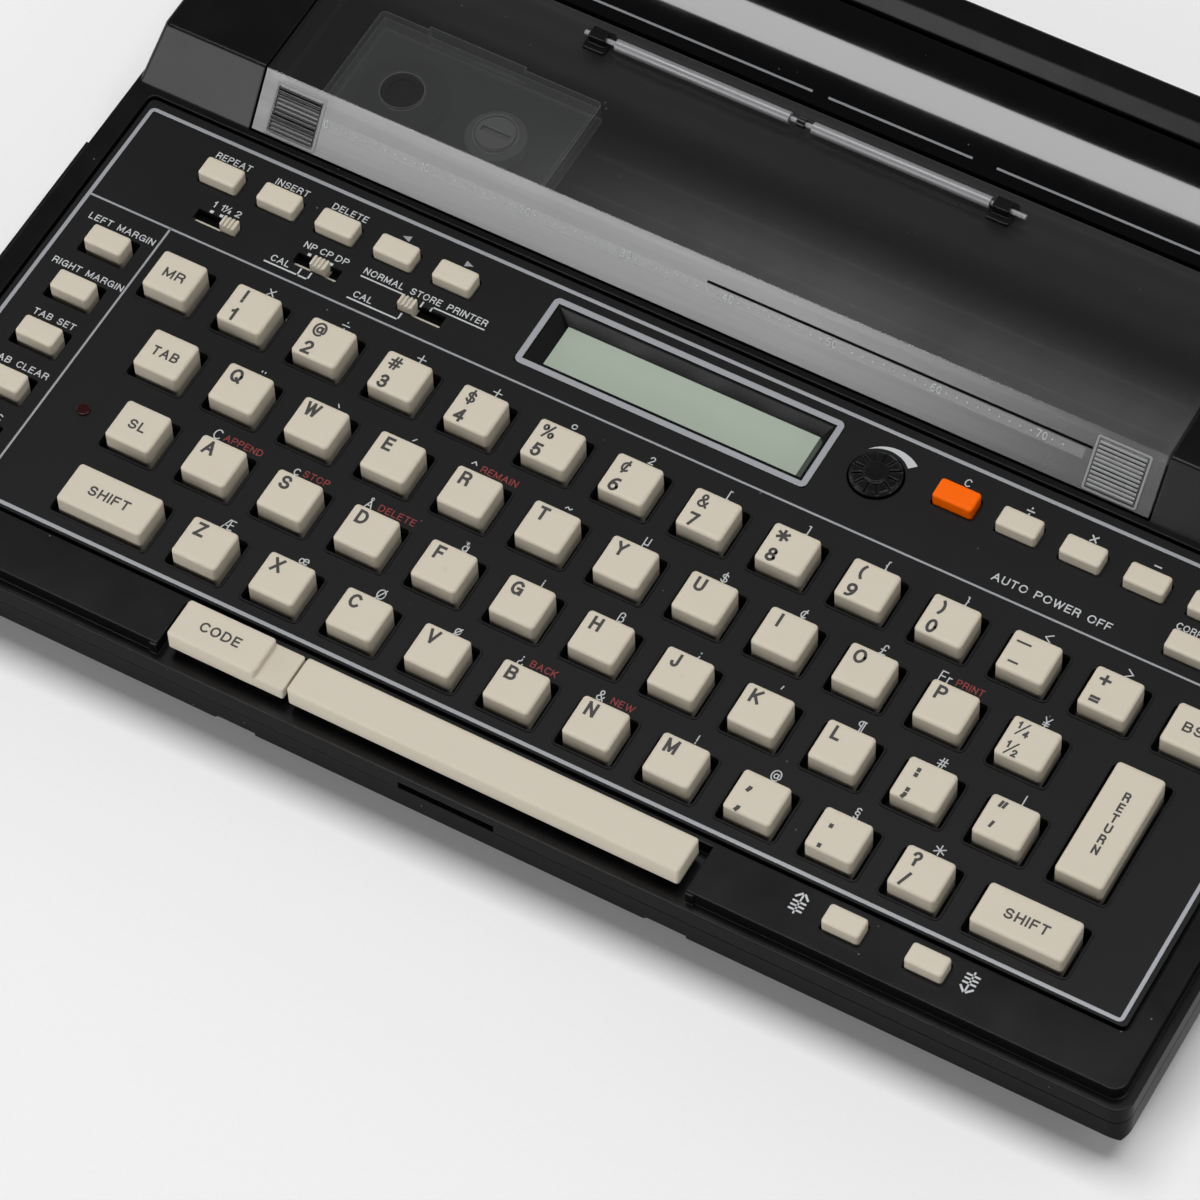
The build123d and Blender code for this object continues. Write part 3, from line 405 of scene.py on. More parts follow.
@dataclass(frozen=True)
class SmokedFinish:
    """A see-through tinted sheet, with its places in metres in the part's own frame.

    Its top has a pale veil that thins out to the rear and to the left: partly real wiped haze, partly a
    painted reflection of the overhead light near the crest. Its slanted front face, up to face_end, is
    frosted and streaked, and lighter at the left than at the right as a painted reflection that falls off to
    the right. frost_alpha is that face's density from outside, and frost_under from inside.
    """

    name: str
    colour: Rgba
    # Veil colour: partly real wiped haze, partly a painted reflection of the overhead light near the crest.
    haze: Rgba
    # Slanted face colours: a painted reflection, lighter at the left and darker to the right.
    frost_left: Rgba
    frost_right: Rgba
    alpha: float = 0.33
    frost_alpha: float = 0.62
    frost_under: float = 0.12
    streak: float = 0.22
    streak_rate: tuple[float, float, float] = (5.0, 240.0, 240.0)
    face_end: float = 0.0235
    face_blend: float = 0.0003
    face_specular: float = 0.15
    # Where along X the slanted face's painted reflection falls off from the left colour to the right colour.
    fade: Point = (0.01, 0.085)
    roughness: float = 0.12
    # Where the top's veil of real haze and painted reflection thins out.
    haze_front: float = 0.0237
    haze_rear: float = 0.05
    haze_left: float = -0.085
    haze_right: float = 0.01
    haze_most: float = 0.9
    smudge: float = 0.03
    dust: float = 0.4
    speck: Rgba = (0.5, 0.5, 0.5, 1.0)

    def make(self, effects: Effects) -> bpy.types.Material:
        """Builds the material.

        Args:
            effects: The shared shader groups.

        Returns:
            The finished material.
        """
        material, g, surface = blank(self.name, self.colour[:3] + (self.alpha,))
        hand = g.add("Group", {"Size": self.smudge, "Dust": self.dust}, node_tree=effects.handling)
        smudge = hand.outputs["Smudge"]
        place = g.add("SeparateXYZ", {0: g.place()})
        face = g.ramp(place.outputs["Y"], (self.face_end, self.face_end + self.face_blend), (1.0, 0.0))
        # Painted reflection: the top's veil near the crest and the slanted face's falloff to the right.
        base = g.mix(face, g.mix(self._veil(g, place, smudge), self.colour, self.haze),
                     self._frost(g, place))
        base = g.mix(hand.outputs["Specks"], base, self.speck)
        inside = g.add("NewGeometry").outputs["Backfacing"]
        thinner = g.math("MULTIPLY", inside, self.frost_alpha - self.frost_under)
        dense = g.math("SUBTRACT", self.frost_alpha, thinner)
        rest = g.math("MULTIPLY", g.math("SUBTRACT", 1.0, face), self.alpha)
        alpha = g.math("ADD", g.math("MULTIPLY", face, dense), rest)
        matt = g.math("MULTIPLY", face, 1.0 - self.face_specular)
        rough = g.ramp(smudge, (0.3, 0.8), (self.roughness, self.roughness + 0.02))
        body = g.add("BsdfPrincipled", {"Base Color": base, "Roughness": rough, "IOR": 1.55, "Alpha": alpha,
                                        "Specular IOR Level": g.math("SUBTRACT", 1.0, matt)})
        g.join(body.outputs[0], surface)
        return material

    def _veil(self, g: Graph, place: bpy.types.Node, smudge: bpy.types.NodeSocket) -> bpy.types.NodeSocket:
        """Mask of the pale veil behind the slanted face: partly real wiped haze, partly a painted reflection
        of the overhead light near the crest.

        Args:
            g: The material's graph.
            place: The separated object coordinates.
            smudge: The uneven smudge mask.

        Returns:
            The mask's socket.
        """
        back = g.ramp(place.outputs["Y"], (self.haze_front, self.haze_rear), (1.0, 0.0), "SMOOTHERSTEP")
        side = g.ramp(place.outputs["X"], (self.haze_left, self.haze_right), (0.0, self.haze_most),
                      "SMOOTHSTEP")
        uneven = g.math("MULTIPLY", back, g.math("ADD", smudge, 0.4), clamp=True)
        return g.math("MULTIPLY", uneven, side)

    def _frost(self, g: Graph, place: bpy.types.Node) -> bpy.types.NodeSocket:
        """Colour of the slanted face, streaked along X, and lighter at the left than at the right: a painted
        reflection of the overhead light that falls off to the right.

        Args:
            g: The material's graph.
            place: The separated object coordinates.

        Returns:
            The colour's socket.
        """
        along = g.ramp(place.outputs["X"], self.fade)
        stretched = g.add("Mapping", {"Vector": g.place(), "Scale": self.streak_rate}).outputs[0]
        streaks = g.add("TexNoise", {"Vector": stretched, "Scale": 1.0, "Detail": 4.0, "Roughness": 0.6})
        rubbed = g.ramp(streaks.outputs[0], (0.35, 0.65), (0.0, self.streak))
        return g.mix(rubbed, g.mix(along, self.frost_left, self.frost_right), self.colour)


@dataclass(frozen=True)
class FilmFinish:
    """A thin hazy see-through moulding, lighter and denser along its edges: a painted highlight where its
    edges catch the light.
    """

    name: str
    colour: Rgba
    edge: Rgba
    alpha: float = 0.2
    rim: float = 0.75
    roughness: float = 0.2
    radius: float = 0.0006

    def make(self, effects: Effects) -> bpy.types.Material:
        """Builds the material.

        Args:
            effects: The shared shader groups.

        Returns:
            The finished material.
        """
        material, g, surface = blank(self.name, self.colour[:3] + (self.alpha,))
        worn_lit_edges = g.add("Group", {"Radius": self.radius}, node_tree=effects.edges)
        mask = worn_lit_edges.outputs["Mask"]
        # Painted highlight: the edge mask makes the edges lighter and more opaque.
        body = g.add("BsdfPrincipled", {
            "Base Color": g.mix(mask, self.colour, self.edge), "Roughness": self.roughness,
            "Alpha": g.ramp(mask, (0.0, 1.0), (self.alpha, self.rim)), "Normal": worn_lit_edges.outputs["Normal"]})
        g.join(body.outputs[0], surface)
        return material


class FinishBook:
    """Every finish of the object, made once and given to the CAD nodes by slot."""

    OWN = {"takeup_spool": "hub_smoke"}

    def __init__(self, effects: Effects) -> None:
        """Makes the materials.

        Args:
            effects: The shared shader groups.
        """
        finishes = [
            # Edge colours and lifts: partly real wear, partly a painted highlight where edges catch the
            # light; on the cream keys and the grip ribs mostly painted highlight.
            Finish("case_black", tint(15, 15, 16), tint(54, 54, 56), 0.21, 0.04, grain=0.00022,
                   depth=0.0000022, radius=0.0005, lift=0.25, specular=0.2, wall_specular=0.15),
            Finish("panel_black", tint(20, 20, 21), tint(48, 48, 50), 0.42, 0.05, grain=0.0005,
                   depth=0.00001, lift=0.25, smudge=0.03, specular=0.13),
            Finish("key_cream", tint(204, 195, 178), tint(228, 221, 205), 0.42, 0.06, grain=0.0003,
                   depth=0.0000025, radius=0.0007, lift=0.5, dust=0.06, variation=0.035, specular=0.4,
                   subsurface=0.16),
            Finish("key_orange", tint(250, 103, 0), tint(252, 128, 30), 0.42, 0.05, grain=0.0003,
                   depth=0.0000025, radius=0.0005, lift=0.25, dust=0.02, variation=0.03, specular=0.08),
            Finish("bezel_black", tint(13, 13, 14), tint(40, 40, 42), 0.24, 0.05, grain=0.0003,
                   depth=0.000002, specular=0.15),
            Finish("lcd_glass", tint(176, 188, 173), tint(184, 196, 180), 0.16, 0.04, grain=0.0008,
                   depth=0.0000005, lift=0.05, dust=0.05, variation=0.05, coat=0.8),
            Finish("lamp_red", tint(44, 8, 8), tint(84, 24, 22), 0.12, 0.03, depth=0.000001, coat=0.6),
            Finish("knob_black", tint(11, 11, 11), tint(48, 48, 48), 0.22, 0.05, grain=0.0003,
                   depth=0.000003, radius=0.0004, lift=0.2, specular=0.3),
            Finish("gloss_black", tint(3, 3, 3), tint(40, 40, 42), 0.1, 0.03, grain=0.0004,
                   depth=0.0000006, lift=0.15, dust=0.2, coat=1.0, specular=0.35),
            Finish("bright_steel", tint(140, 140, 142), tint(196, 196, 196), 0.44, 0.06, metallic=0.5,
                   grain=0.0002, depth=0.0000015, dust=0.1, variation=0.1, brushed=True),
            Finish("rod_dark", tint(22, 22, 23), tint(60, 60, 62), 0.4, 0.06, metallic=0.4, grain=0.0002,
                   depth=0.0000015, dust=0.1, specular=0.2, brushed=True),
            Finish("sheet_steel", tint(168, 170, 172), tint(214, 214, 216), 0.32, 0.07, metallic=1.0,
                   grain=0.0006, depth=0.000004, variation=0.15),
            Finish("motor_steel", tint(142, 144, 148), tint(200, 200, 202), 0.3, 0.07, metallic=1.0,
                   grain=0.0003, depth=0.000003, variation=0.12, brushed=True),
            Finish("platen_rubber", tint(26, 26, 26), tint(60, 60, 60), 0.62, 0.08, grain=0.00025,
                   depth=0.000012, dust=0.4, brushed=True),
            Finish("nylon_white", tint(222, 220, 210), tint(236, 234, 226), 0.4, 0.06, grain=0.0003,
                   depth=0.000003, dust=0.1, variation=0.05, subsurface=0.1),
            Finish("inner_black", tint(14, 14, 15), tint(40, 40, 42), 0.4, 0.06, grain=0.0004,
                   depth=0.000004, lift=0.15, dust=0.3, specular=0.15),
            Finish("head_metal", tint(96, 98, 100), tint(150, 150, 152), 0.4, 0.06, metallic=1.0,
                   grain=0.0003, depth=0.000002, variation=0.1),
            Finish("ribbon_black", tint(17, 17, 18), tint(70, 70, 72), 0.34, 0.06, grain=0.0001,
                   depth=0.000006, dust=0.1),
            Finish("board_green", tint(44, 96, 58), tint(126, 150, 110), 0.3, 0.08, grain=0.0009,
                   depth=0.00001, variation=0.2, coat=0.3),
            Finish("silicone_grey", tint(150, 151, 154), tint(176, 176, 178), 0.6, 0.08, grain=0.0004,
                   depth=0.000006, dust=0.3),
            Finish("belt_black", tint(28, 28, 29), tint(66, 66, 66), 0.66, 0.08, grain=0.0005,
                   depth=0.00002, dust=0.4),
            Finish("cell_wrap", tint(50, 52, 58), tint(120, 122, 126), 0.3, 0.06, metallic=0.4,
                   grain=0.0006, depth=0.000003, variation=0.2),
            Finish("foot_rubber", tint(32, 32, 32), tint(70, 70, 70), 0.72, 0.08, grain=0.0004,
                   depth=0.00002, dust=0.6),
            Finish("screw_steel", tint(96, 97, 99), tint(120, 120, 122), 0.34, 0.08, metallic=1.0,
                   grain=0.0003, depth=0.000003, variation=0.2, brushed=True),
            # Smoked cover: the second colour is its veil, partly real haze and partly a painted reflection;
            # the third and fourth are the slanted face's painted reflection, lighter at the left.
            SmokedFinish("smoked_clear", (0.028, 0.028, 0.029, 1.0), (0.17, 0.17, 0.172, 1.0),
                         (0.485, 0.485, 0.49, 1.0), (0.185, 0.185, 0.187, 1.0)),
            # The cassette's light, dense edges are a painted highlight.
            FilmFinish("cassette_clear", tint(150, 152, 153), tint(228, 229, 229), 0.22, 0.85),
            FilmFinish("hub_smoke", tint(165, 166, 167), tint(180, 180, 180), 0.7, 0.8),
            FilmFinish("scale_frost", tint(206, 207, 208), tint(212, 212, 212), 0.2, 0.3, 0.6),
            Finish("legend_grey", tint(50, 47, 44), tint(66, 62, 58), 0.55, 0.05, depth=0.000001,
                   dust=0.02, variation=0.1),
            Finish("ink_white", tint(196, 198, 200), tint(206, 206, 206), 0.55, 0.05, depth=0.000002,
                   dust=0.05, variation=0.08),
            Finish("ink_red", tint(142, 42, 39), tint(150, 54, 50), 0.55, 0.05, depth=0.000002, dust=0.05,
                   variation=0.1),
            Finish("ink_silver", tint(152, 154, 158), tint(196, 198, 200), 0.42, 0.05, metallic=0.3,
                   depth=0.000002, dust=0.05, variation=0.06),
            Finish("ink_smoke", tint(186, 188, 190), tint(190, 190, 190), 0.5, 0.05, depth=0.000002,
                   dust=0.05),
            # Painted light: the grip frame's grey is a painted highlight, slot_shadow a painted shadow for
            # slots and the ground between ribs, and the two rib finishes a shaded and a lit copy of one
            # clear moulding.
            Finish("frame_grey", tint(150, 151, 153), tint(160, 160, 160), 0.5, 0.05, depth=0.000002,
                   dust=0.05, specular=0.2),
            Finish("slot_shadow", tint(14, 14, 14), tint(20, 20, 20), 0.9, 0.02, depth=0.000001,
                   specular=0.0),
            Finish("rib_painted_shade", tint(32, 33, 34), tint(110, 111, 112), 0.25, 0.05, radius=0.0001,
                   depth=0.000001, lift=0.6, dust=0.05),
            Finish("rib_painted_highlight", tint(130, 131, 132), tint(200, 201, 202), 0.25, 0.05, radius=0.0001,
                   depth=0.000001, lift=0.6, dust=0.05),
        ]
        self.made = {finish.name: finish.make(effects) for finish in finishes}

    def __getitem__(self, name: str) -> bpy.types.Material:
        """The material of that name."""
        return self.made[name]

    def dress_frame(self, frame: dict) -> None:
        """Gives every CAD node the finish of its record slot.
        """
        for name, thing in frame["nodes"].items():
            for place in thing.material_slots:
                slot = place.material.name.split(".")[0] if place.material else ""
                if slot in self.made:
                    place.material = self.made[slot]
                else:
                    log.warning("no finish for %s on %s", slot, name)
            log.info("finish: %s", name)
        for name, finish in self.OWN.items():
            for place in frame["nodes"][name].material_slots:
                place.material = self.made[finish]


# Lettering


class Lettering:
    """A plain stroke alphabet of the builder's own, on capitals one unit high.

    A glyph is its strokes, parted by semicolons. A stroke is a run of points x,y and of arcs
    @centre x,centre y,radius x,radius y,first angle,last angle in degrees.
    """

    GAP = 0.16
    SPACE = 0.3
    CORNER = 50.0
    ARC_STEP = 18.0
    NEAR = 0.001
    O = "@.37,.5,.37,.5,0,360"
    C = "@.36,.5,.36,.5,42,318"
    A = "0,0 .36,1 .72,0;.13,.34 .59,.34"
    SHAPES = {
        " ": "", "A": A,
        "B": "0,.52 .34,.52 @.34,.76,.24,.24,-90,90 0,1 0,0 .36,0 @.36,.26,.26,.26,-90,90", "C": C,
        "D": ".26,0 0,0 0,1 .26,1 @.26,.5,.4,.5,90,-90", "E": ".52,0 0,0 0,1 .52,1;0,.52 .46,.52",
        "F": "0,0 0,1 .5,1;0,.5 .43,.5", "G": "@.36,.5,.36,.5,42,345 .71,.47 .42,.47;.71,.47 .71,.02",
        "H": "0,0 0,1;.6,0 .6,1;0,.53 .6,.53", "I": "0,0 0,1",
        "J": ".42,1 .42,.26 @.21,.26,.21,.26,0,-180", "K": "0,0 0,1;.6,1 .02,.36;.2,.56 .62,0",
        "L": "0,1 0,0 .48,0", "M": "0,0 0,1 .37,.1 .74,1 .74,0", "N": "0,0 0,1 .6,0 .6,1", "O": O,
        "P": "0,0 0,1 .33,1 @.33,.73,.26,.27,90,-90 0,.46", "Q": O + ";.45,.25 .74,-.04",
        "R": "0,0 0,1 .35,1 @.35,.74,.24,.26,90,-90 0,.48;.36,.48 .56,.34 .6,0",
        "S": "@.29,.75,.27,.25,15,270 @.3,.25,.3,.25,90,-165", "T": "0,1 .58,1;.29,1 .29,0",
        "U": "0,1 0,.3 @.3,.3,.3,.3,180,360 .6,1", "V": "0,1 .34,0 .68,1",
        "W": "0,1 .25,0 .48,1 .71,0 .96,1", "X": "0,0 .64,1;0,1 .64,0",
        "Y": "0,1 .32,.46 .64,1;.32,.46 .32,0", "Z": "0,1 .58,1 0,0 .6,0", "0": "@.28,.5,.28,.5,0,360",
        "1": "0,.76 .14,.82 .24,1 .24,0", "2": "@.28,.72,.27,.28,170,-30 0,0 .56,0",
        "3": "@.27,.76,.24,.24,160,-90 .16,.52;.27,.52 @.27,.26,.28,.26,90,-165",
        "4": ".44,0 .44,1 0,.3 .6,.3", "5": ".5,1 .1,1 .05,.52 @.27,.32,.28,.32,140,-160",
        "6": "@.28,.3,.28,.3,0,360;@.44,.34,.44,.66,180,80", "7": "0,1 .56,1 .2,0",
        "8": "@.28,.76,.23,.24,0,360;@.28,.26,.28,.26,0,360",
        "9": "@.28,.7,.28,.3,0,360;@.12,.66,.44,.66,0,-100", "r": "0,0 0,.62;0,.36 @.2,.4,.2,.2,180,70",
        "&": ".64,0 .13,.7 @.28,.8,.16,.2,205,-40 .1,.42 @.25,.24,.25,.24,130,330 .62,.42",
        "@": "@.45,.47,.19,.22,0,360;.64,.68 .64,.36 @.755,.36,.115,.13,190,350 .87,.5 "
             "@.44,.5,.43,.55,0,305",
        "#": ".22,0 .34,1;.5,0 .62,1;.04,.68 .8,.68;0,.32 .76,.32",
        "$": "@.27,.7,.24,.19,15,270 @.28,.3,.27,.21,90,-165;.28,-.1 .28,1.1",
        "¢": "@.3,.42,.27,.36,45,315;.2,-.08 .42,.95",
        "%": "@.16,.77,.15,.2,0,360;@.76,.23,.15,.2,0,360;.2,-.02 .72,1.02",
        "*": ".38,.1 .38,.96;0,.31 .76,.75;0,.75 .76,.31", "(": "@.5,.45,.5,.7,130,230",
        ")": "@-.3,.45,.5,.7,50,-50", "!": "0,.32 0,1;0,-.02 0,.05", "/": "0,-.02 .38,1.02",
        ",": ".08,.06 .08,.0 0,-.16", ".": "0,-.02 0,.05",
        "?": "@.25,.74,.24,.26,170,-50 .25,.42 .25,.28;.25,-.02 .25,.05", "'": "0,.62 .08,1",
        '"': "0,.62 .08,1;.3,.62 .38,1", ":": "0,.0 0,.07;0,.5 0,.57",
        ";": ".08,.5 .08,.57;.08,.07 .08,.0 0,-.16", "+": "0,.45 .7,.45;.35,.1 .35,.8",
        "=": "0,.3 .56,.3;0,.6 .56,.6", "−": "0,.45 .56,.45", "×": "0,.15 .52,.71;0,.71 .52,.15",
        "÷": "0,.43 .6,.43;.3,.74 .3,.79;.3,.07 .3,.12", "°": "@.2,.48,.2,.2,0,360",
        "²": "@.18,.66,.17,.18,170,-30 0,.2 .36,.2", "[": ".2,1.05 0,1.05 0,-.1 .2,-.1",
        "]": "0,1.05 .2,1.05 .2,-.1 0,-.1", "{": ".24,1.05 .12,1 .12,.58 0,.47 .12,.36 .12,-.05 .24,-.1",
        "}": "0,1.05 .12,1 .12,.58 .24,.47 .12,.36 .12,-.05 0,-.1", "<": ".5,.8 0,.45 .5,.1",
        ">": "0,.8 .5,.45 0,.1", "¨": "0,.35 0,.45;.28,.35 .28,.45", "`": "0,.52 .2,.27",
        "´": ".2,.52 0,.27", "^": "0,.6 .2,.85 .4,.6", "~": "0,.4 .14,.54 .36,.38 .5,.52",
        "µ": "0,.0 0,.95;0,.5 @.19,.5,.19,.2,180,360 .38,.95;.38,.6 .38,.3",
        "£": "@.34,.78,.17,.22,10,180 .17,.2 0,0 .54,0;0,.46 .4,.46",
        "¥": "0,1 .3,.5 .6,1;.3,.5 .3,0;.05,.42 .55,.42;.05,.2 .55,.2",
        "Ç": C + ";.36,0 .42,-.14 .28,-.24", "ç": "@.26,.32,.26,.32,45,315;.26,0 .32,-.14 .18,-.24",
        "Å": "0,0 .3,.76 .6,0;.11,.26 .49,.26;@.3,.98,.11,.12,0,360",
        "å": "@.22,.28,.22,.28,0,360;.46,.6 .46,0;@.24,.86,.1,.11,0,360", "¡": "0,-.2 0,.45;0,.64 0,.7",
        "ß": "0,-.02 0,.72 @.22,.74,.22,.24,180,-40 .26,.52 @.26,.27,.24,.27,70,-110",
        "¶": "@.3,.74,.25,.26,90,270;.3,.48 .36,.48;.3,1 .62,1;.36,1 .36,-.1;.56,1 .56,-.1",
        "|": "0,1.05 0,-.1", "Æ": "0,0 .42,1 .98,1;.56,1 .56,0 .98,0;.16,.34 .56,.34;.56,.53 .92,.53",
        "æ": "@.2,.24,.2,.24,0,360;.4,.52 .4,.1;.42,.33 .84,.33;@.62,.3,.22,.3,0,310",
        "Ø": O + ";.06,-.04 .68,1.04", "ø": "@.26,.32,.26,.32,0,360;0,-.04 .52,.68",
        "¿": "@.25,.06,.24,.26,-10,-230 .25,.34 .25,.5;.25,.74 .25,.8",
        "§": "@.22,.84,.18,.17,25,230;@.22,.48,.19,.17,0,360;@.22,.1,.18,.17,205,410",
    }

    @classmethod
    def glyph(cls, letter: str) -> tuple[float, list[list[Point]]]:
        """One letter's strokes from its left edge.

        Args:
            letter: The letter.

        Returns:
            Its width, and its strokes split at sharp corners.
        """
        shape = cls.SHAPES.get(letter)
        if not shape:
            return cls.SPACE, []
        strokes = []
        for part in shape.split(";"):
            strokes += cls._split(cls._trace(part))
        low = min(x for stroke in strokes for x, _ in stroke)
        high = max(x for stroke in strokes for x, _ in stroke)
        return high - low, [[(x - low, y) for x, y in stroke] for stroke in strokes]

    @classmethod
    def _trace(cls, part: str) -> list[Point]:
        """The points of one stroke, its arcs rounded out."""
        points: list[Point] = []
        for word in part.split():
            numbers = [float(n) for n in word.lstrip("@").split(",")]
            if len(numbers) == 2:
                points.append((numbers[0], numbers[1]))
                continue
            cx, cy, rx, ry, start, end = numbers
            steps = max(3, round(abs(end - start) / cls.ARC_STEP))
            for i in range(steps + 1):
                turn = math.radians(start + (end - start) * i / steps)
                points.append((cx + rx * math.cos(turn), cy + ry * math.sin(turn)))
        return [p for i, p in enumerate(points) if not i or math.dist(p, points[i - 1]) > cls.NEAR]

    @classmethod
    def _split(cls, points: list[Point]) -> list[list[Point]]:
        """Cuts a stroke where it turns sharply, so that each part ends square."""
        parts = [[points[0]]]
        for before, here, after in zip(points, points[1:], points[2:]):
            parts[-1].append(here)
            first = Vector((here[0] - before[0], here[1] - before[1]))
            second = Vector((after[0] - here[0], after[1] - here[1]))
            if math.degrees(first.angle(second)) > cls.CORNER:
                parts.append([here])
        parts[-1].append(points[-1])
        return parts


# Drawing thin pieces


class Pen:
    """Draws flat marks, strokes and words into one thin mesh, in millimetres."""

    UNDER = 0.02
    RISE = 0.002
    ROUND = 8
    LEAST = 0.05
    MITRE = 0.7

    def __init__(self, height: float, lift: float = 0.03) -> None:
        """Starts an empty drawing on a level plane.

        Args:
            height: The plane's height.
            lift: How far the mark stands proud of it.
        """
        self.mesh = bmesh.new()
        self.height = height
        self.lift = lift
        self.frame = Matrix.Identity(4)

    def _place(self, x: float, y: float, up: float) -> Vector:
        """A drawing point in the part's frame, in metres."""
        return (self.frame @ Vector((x, y, self.height + up))) * MM

    def plate(self, outline: Sequence[Point], ink: int = 0) -> None:
        """Adds a thin plate with side walls.

        Args:
            outline: Corner points, anticlockwise.
            ink: Material index.
        """
        top = [self.mesh.verts.new(self._place(x, y, self.lift)) for x, y in outline]
        low = [self.mesh.verts.new(self._place(x, y, -self.UNDER)) for x, y in outline]
        faces = [self.mesh.faces.new(top)]
        count = len(outline)
        faces += [self.mesh.faces.new((low[i], low[(i + 1) % count], top[(i + 1) % count], top[i]))
                  for i in range(count)]
        for face in faces:
            face.material_index = ink

    def box(self, x0: float, x1: float, y0: float, y1: float, ink: int = 0) -> None:
        """Adds an upright rectangle."""
        self.plate([(x0, y0), (x1, y0), (x1, y1), (x0, y1)], ink)

    def band(self, inner: Sequence[Point], outer: Sequence[Point], closed: bool, ink: int = 0) -> None:
        """Adds a flat band between two lines of as many points.

        Args:
            inner: Points on one edge.
            outer: Points on the other edge.
            closed: Whether the band runs round.
            ink: Material index.
        """
        a = [self.mesh.verts.new(self._place(x, y, self.lift)) for x, y in inner]
        b = [self.mesh.verts.new(self._place(x, y, self.lift)) for x, y in outer]
        c = [self.mesh.verts.new(self._place(x, y, -self.UNDER)) for x, y in inner]
        d = [self.mesh.verts.new(self._place(x, y, -self.UNDER)) for x, y in outer]
        count = len(a)
        for i in range(count if closed else count - 1):
            j = (i + 1) % count
            for quad in ((b[i], b[j], a[j], a[i]), (d[i], d[j], b[j], b[i]), (a[i], a[j], c[j], c[i])):
                self.mesh.faces.new(quad).material_index = ink

    def stroke(self, points: Sequence[Point], width: float, ink: int = 0) -> None:
        """Adds straight runs of one width, each squared at its ends.

        Args:
            points: The line's points.
            width: Line width.
            ink: Material index.
        """
        for (xa, ya), (xb, yb) in zip(points, points[1:]):
            along = Vector((xb - xa, yb - ya)).normalized() * (width / 2)
            side = Vector((-along.y, along.x))
            corners = []
            for x, y, ahead, across in ((xa, ya, -1, -1), (xb, yb, 1, -1), (xb, yb, 1, 1), (xa, ya, -1, 1)):
                shift = ahead * along + across * side
                corners.append((x + shift.x, y + shift.y))
            self.plate(corners, ink)

    def ring(self, x0: float, x1: float, y0: float, y1: float, corner: float, width: float,
             ink: int = 0) -> None:
        """Adds a line round a rounded rectangle, inside the given edges.

        Args:
            x0: Left edge.
            x1: Right edge.
            y0: Front edge.
            y1: Rear edge.
            corner: Outer corner radius.
            width: Line width.
            ink: Material index.
        """
        outer, inner = [], []
        within = max(corner - width, self.LEAST)
        for cx, cy, start in ((x1 - corner, y1 - corner, 0), (x0 + corner, y1 - corner, 90),
                              (x0 + corner, y0 + corner, 180), (x1 - corner, y0 + corner, 270)):
            for step in range(self.ROUND + 1):
                angle = math.radians(start + step * 90.0 / self.ROUND)
                c, s = math.cos(angle), math.sin(angle)
                outer.append((cx + corner * c, cy + corner * s))
                inner.append((cx + within * c, cy + within * s))
        self.band(inner, outer, True, ink)

    def disc(self, x: float, y: float, radius: float, ink: int = 0, sides: int = 20) -> None:
        """Adds a round dot."""
        turns = [2 * math.pi * i / sides for i in range(sides)]
        self.plate([(x + radius * math.cos(turn), y + radius * math.sin(turn)) for turn in turns], ink)

    def ribbon(self, points: Sequence[Vector], width: float, ink: int, rise: float) -> None:
        """Adds one bent stroke of even width with square ends.

        Args:
            points: The middle line.
            width: Line width.
            ink: Material index.
            rise: Height over the other marks.
        """
        runs = [b - a for a, b in zip(points, points[1:])]
        first = points[0] - runs[0].normalized() * width / 2
        last = points[-1] + runs[-1].normalized() * width / 2
        line = [first, *points[1:-1], last]
        left, right = [], []
        for i, point in enumerate(line):
            before, after = runs[max(i - 1, 0)].normalized(), runs[min(i, len(runs) - 1)].normalized()
            across = Vector((-before.y - after.y, before.x + after.x)).normalized()
            across *= width / 2 / max(across.dot(Vector((-before.y, before.x))), self.MITRE)
            left.append(tuple(point + across))
            right.append(tuple(point - across))
        lift, self.lift = self.lift, self.lift + rise
        self.band(left, right, False, ink)
        self.lift = lift

    def word(self, text: str, x: float, y: float, cap: float, ink: int = 0,
             width: Optional[float] = None, weight: float = 0.12) -> None:
        """Adds generic lettering, centred on x and y.

        Args:
            text: The word or sign.
            x: Middle of the word.
            y: Middle of the capitals.
            cap: Height of the capitals.
            ink: Material index.
            width: The word's whole width, if it is fixed.
            weight: Stroke width, as a share of the capitals' height.
        """
        thick = weight * cap
        glyphs = [Lettering.glyph(letter) for letter in text]
        size = cap - thick
        gap = Lettering.GAP * cap
        bodies = sum(reach for reach, _ in glyphs) * size + gap * (len(glyphs) - 1)
        natural = bodies + thick * len(glyphs)
        stretch = (width - thick * len(glyphs)) / bodies if width and bodies > 0 else 1.0
        pen_x = x - (width or natural) / 2 + thick / 2
        base = y - size / 2
        for reach, strokes in glyphs:
            for order, stroke in enumerate(strokes):
                points = [Vector((pen_x + px * size * stretch, base + py * size)) for px, py in stroke]
                self.ribbon(points, thick, ink, self.RISE * (order % 4))
            pen_x += (reach * size + gap) * stretch + thick

    def piece(self, name: str, body: str, slot: str,
              materials: Sequence[bpy.types.Material]) -> bpy.types.Object:
        """Ends the drawing as one piece of the object.

        Args:
            name: The piece's name.
            body: The CAD body it rides on.
            slot: The record's material slot it belongs to; not used.
            materials: Its finishes in ink order.

        Returns:
            The new object.
        """
        data = bpy.data.meshes.new(name)
        self.mesh.normal_update()
        self.mesh.to_mesh(data)
        self.mesh.free()
        return hang(name, data, body, materials)


def put(name: str, data: bpy.types.ID) -> bpy.types.Object:
    """Adds a new object to the scene.

    Args:
        name: Its name.
        data: Its mesh, light or camera.

    Returns:
        The new object.
    """
    thing = bpy.data.objects.new(name, data)
    bpy.context.scene.collection.objects.link(thing)
    return thing


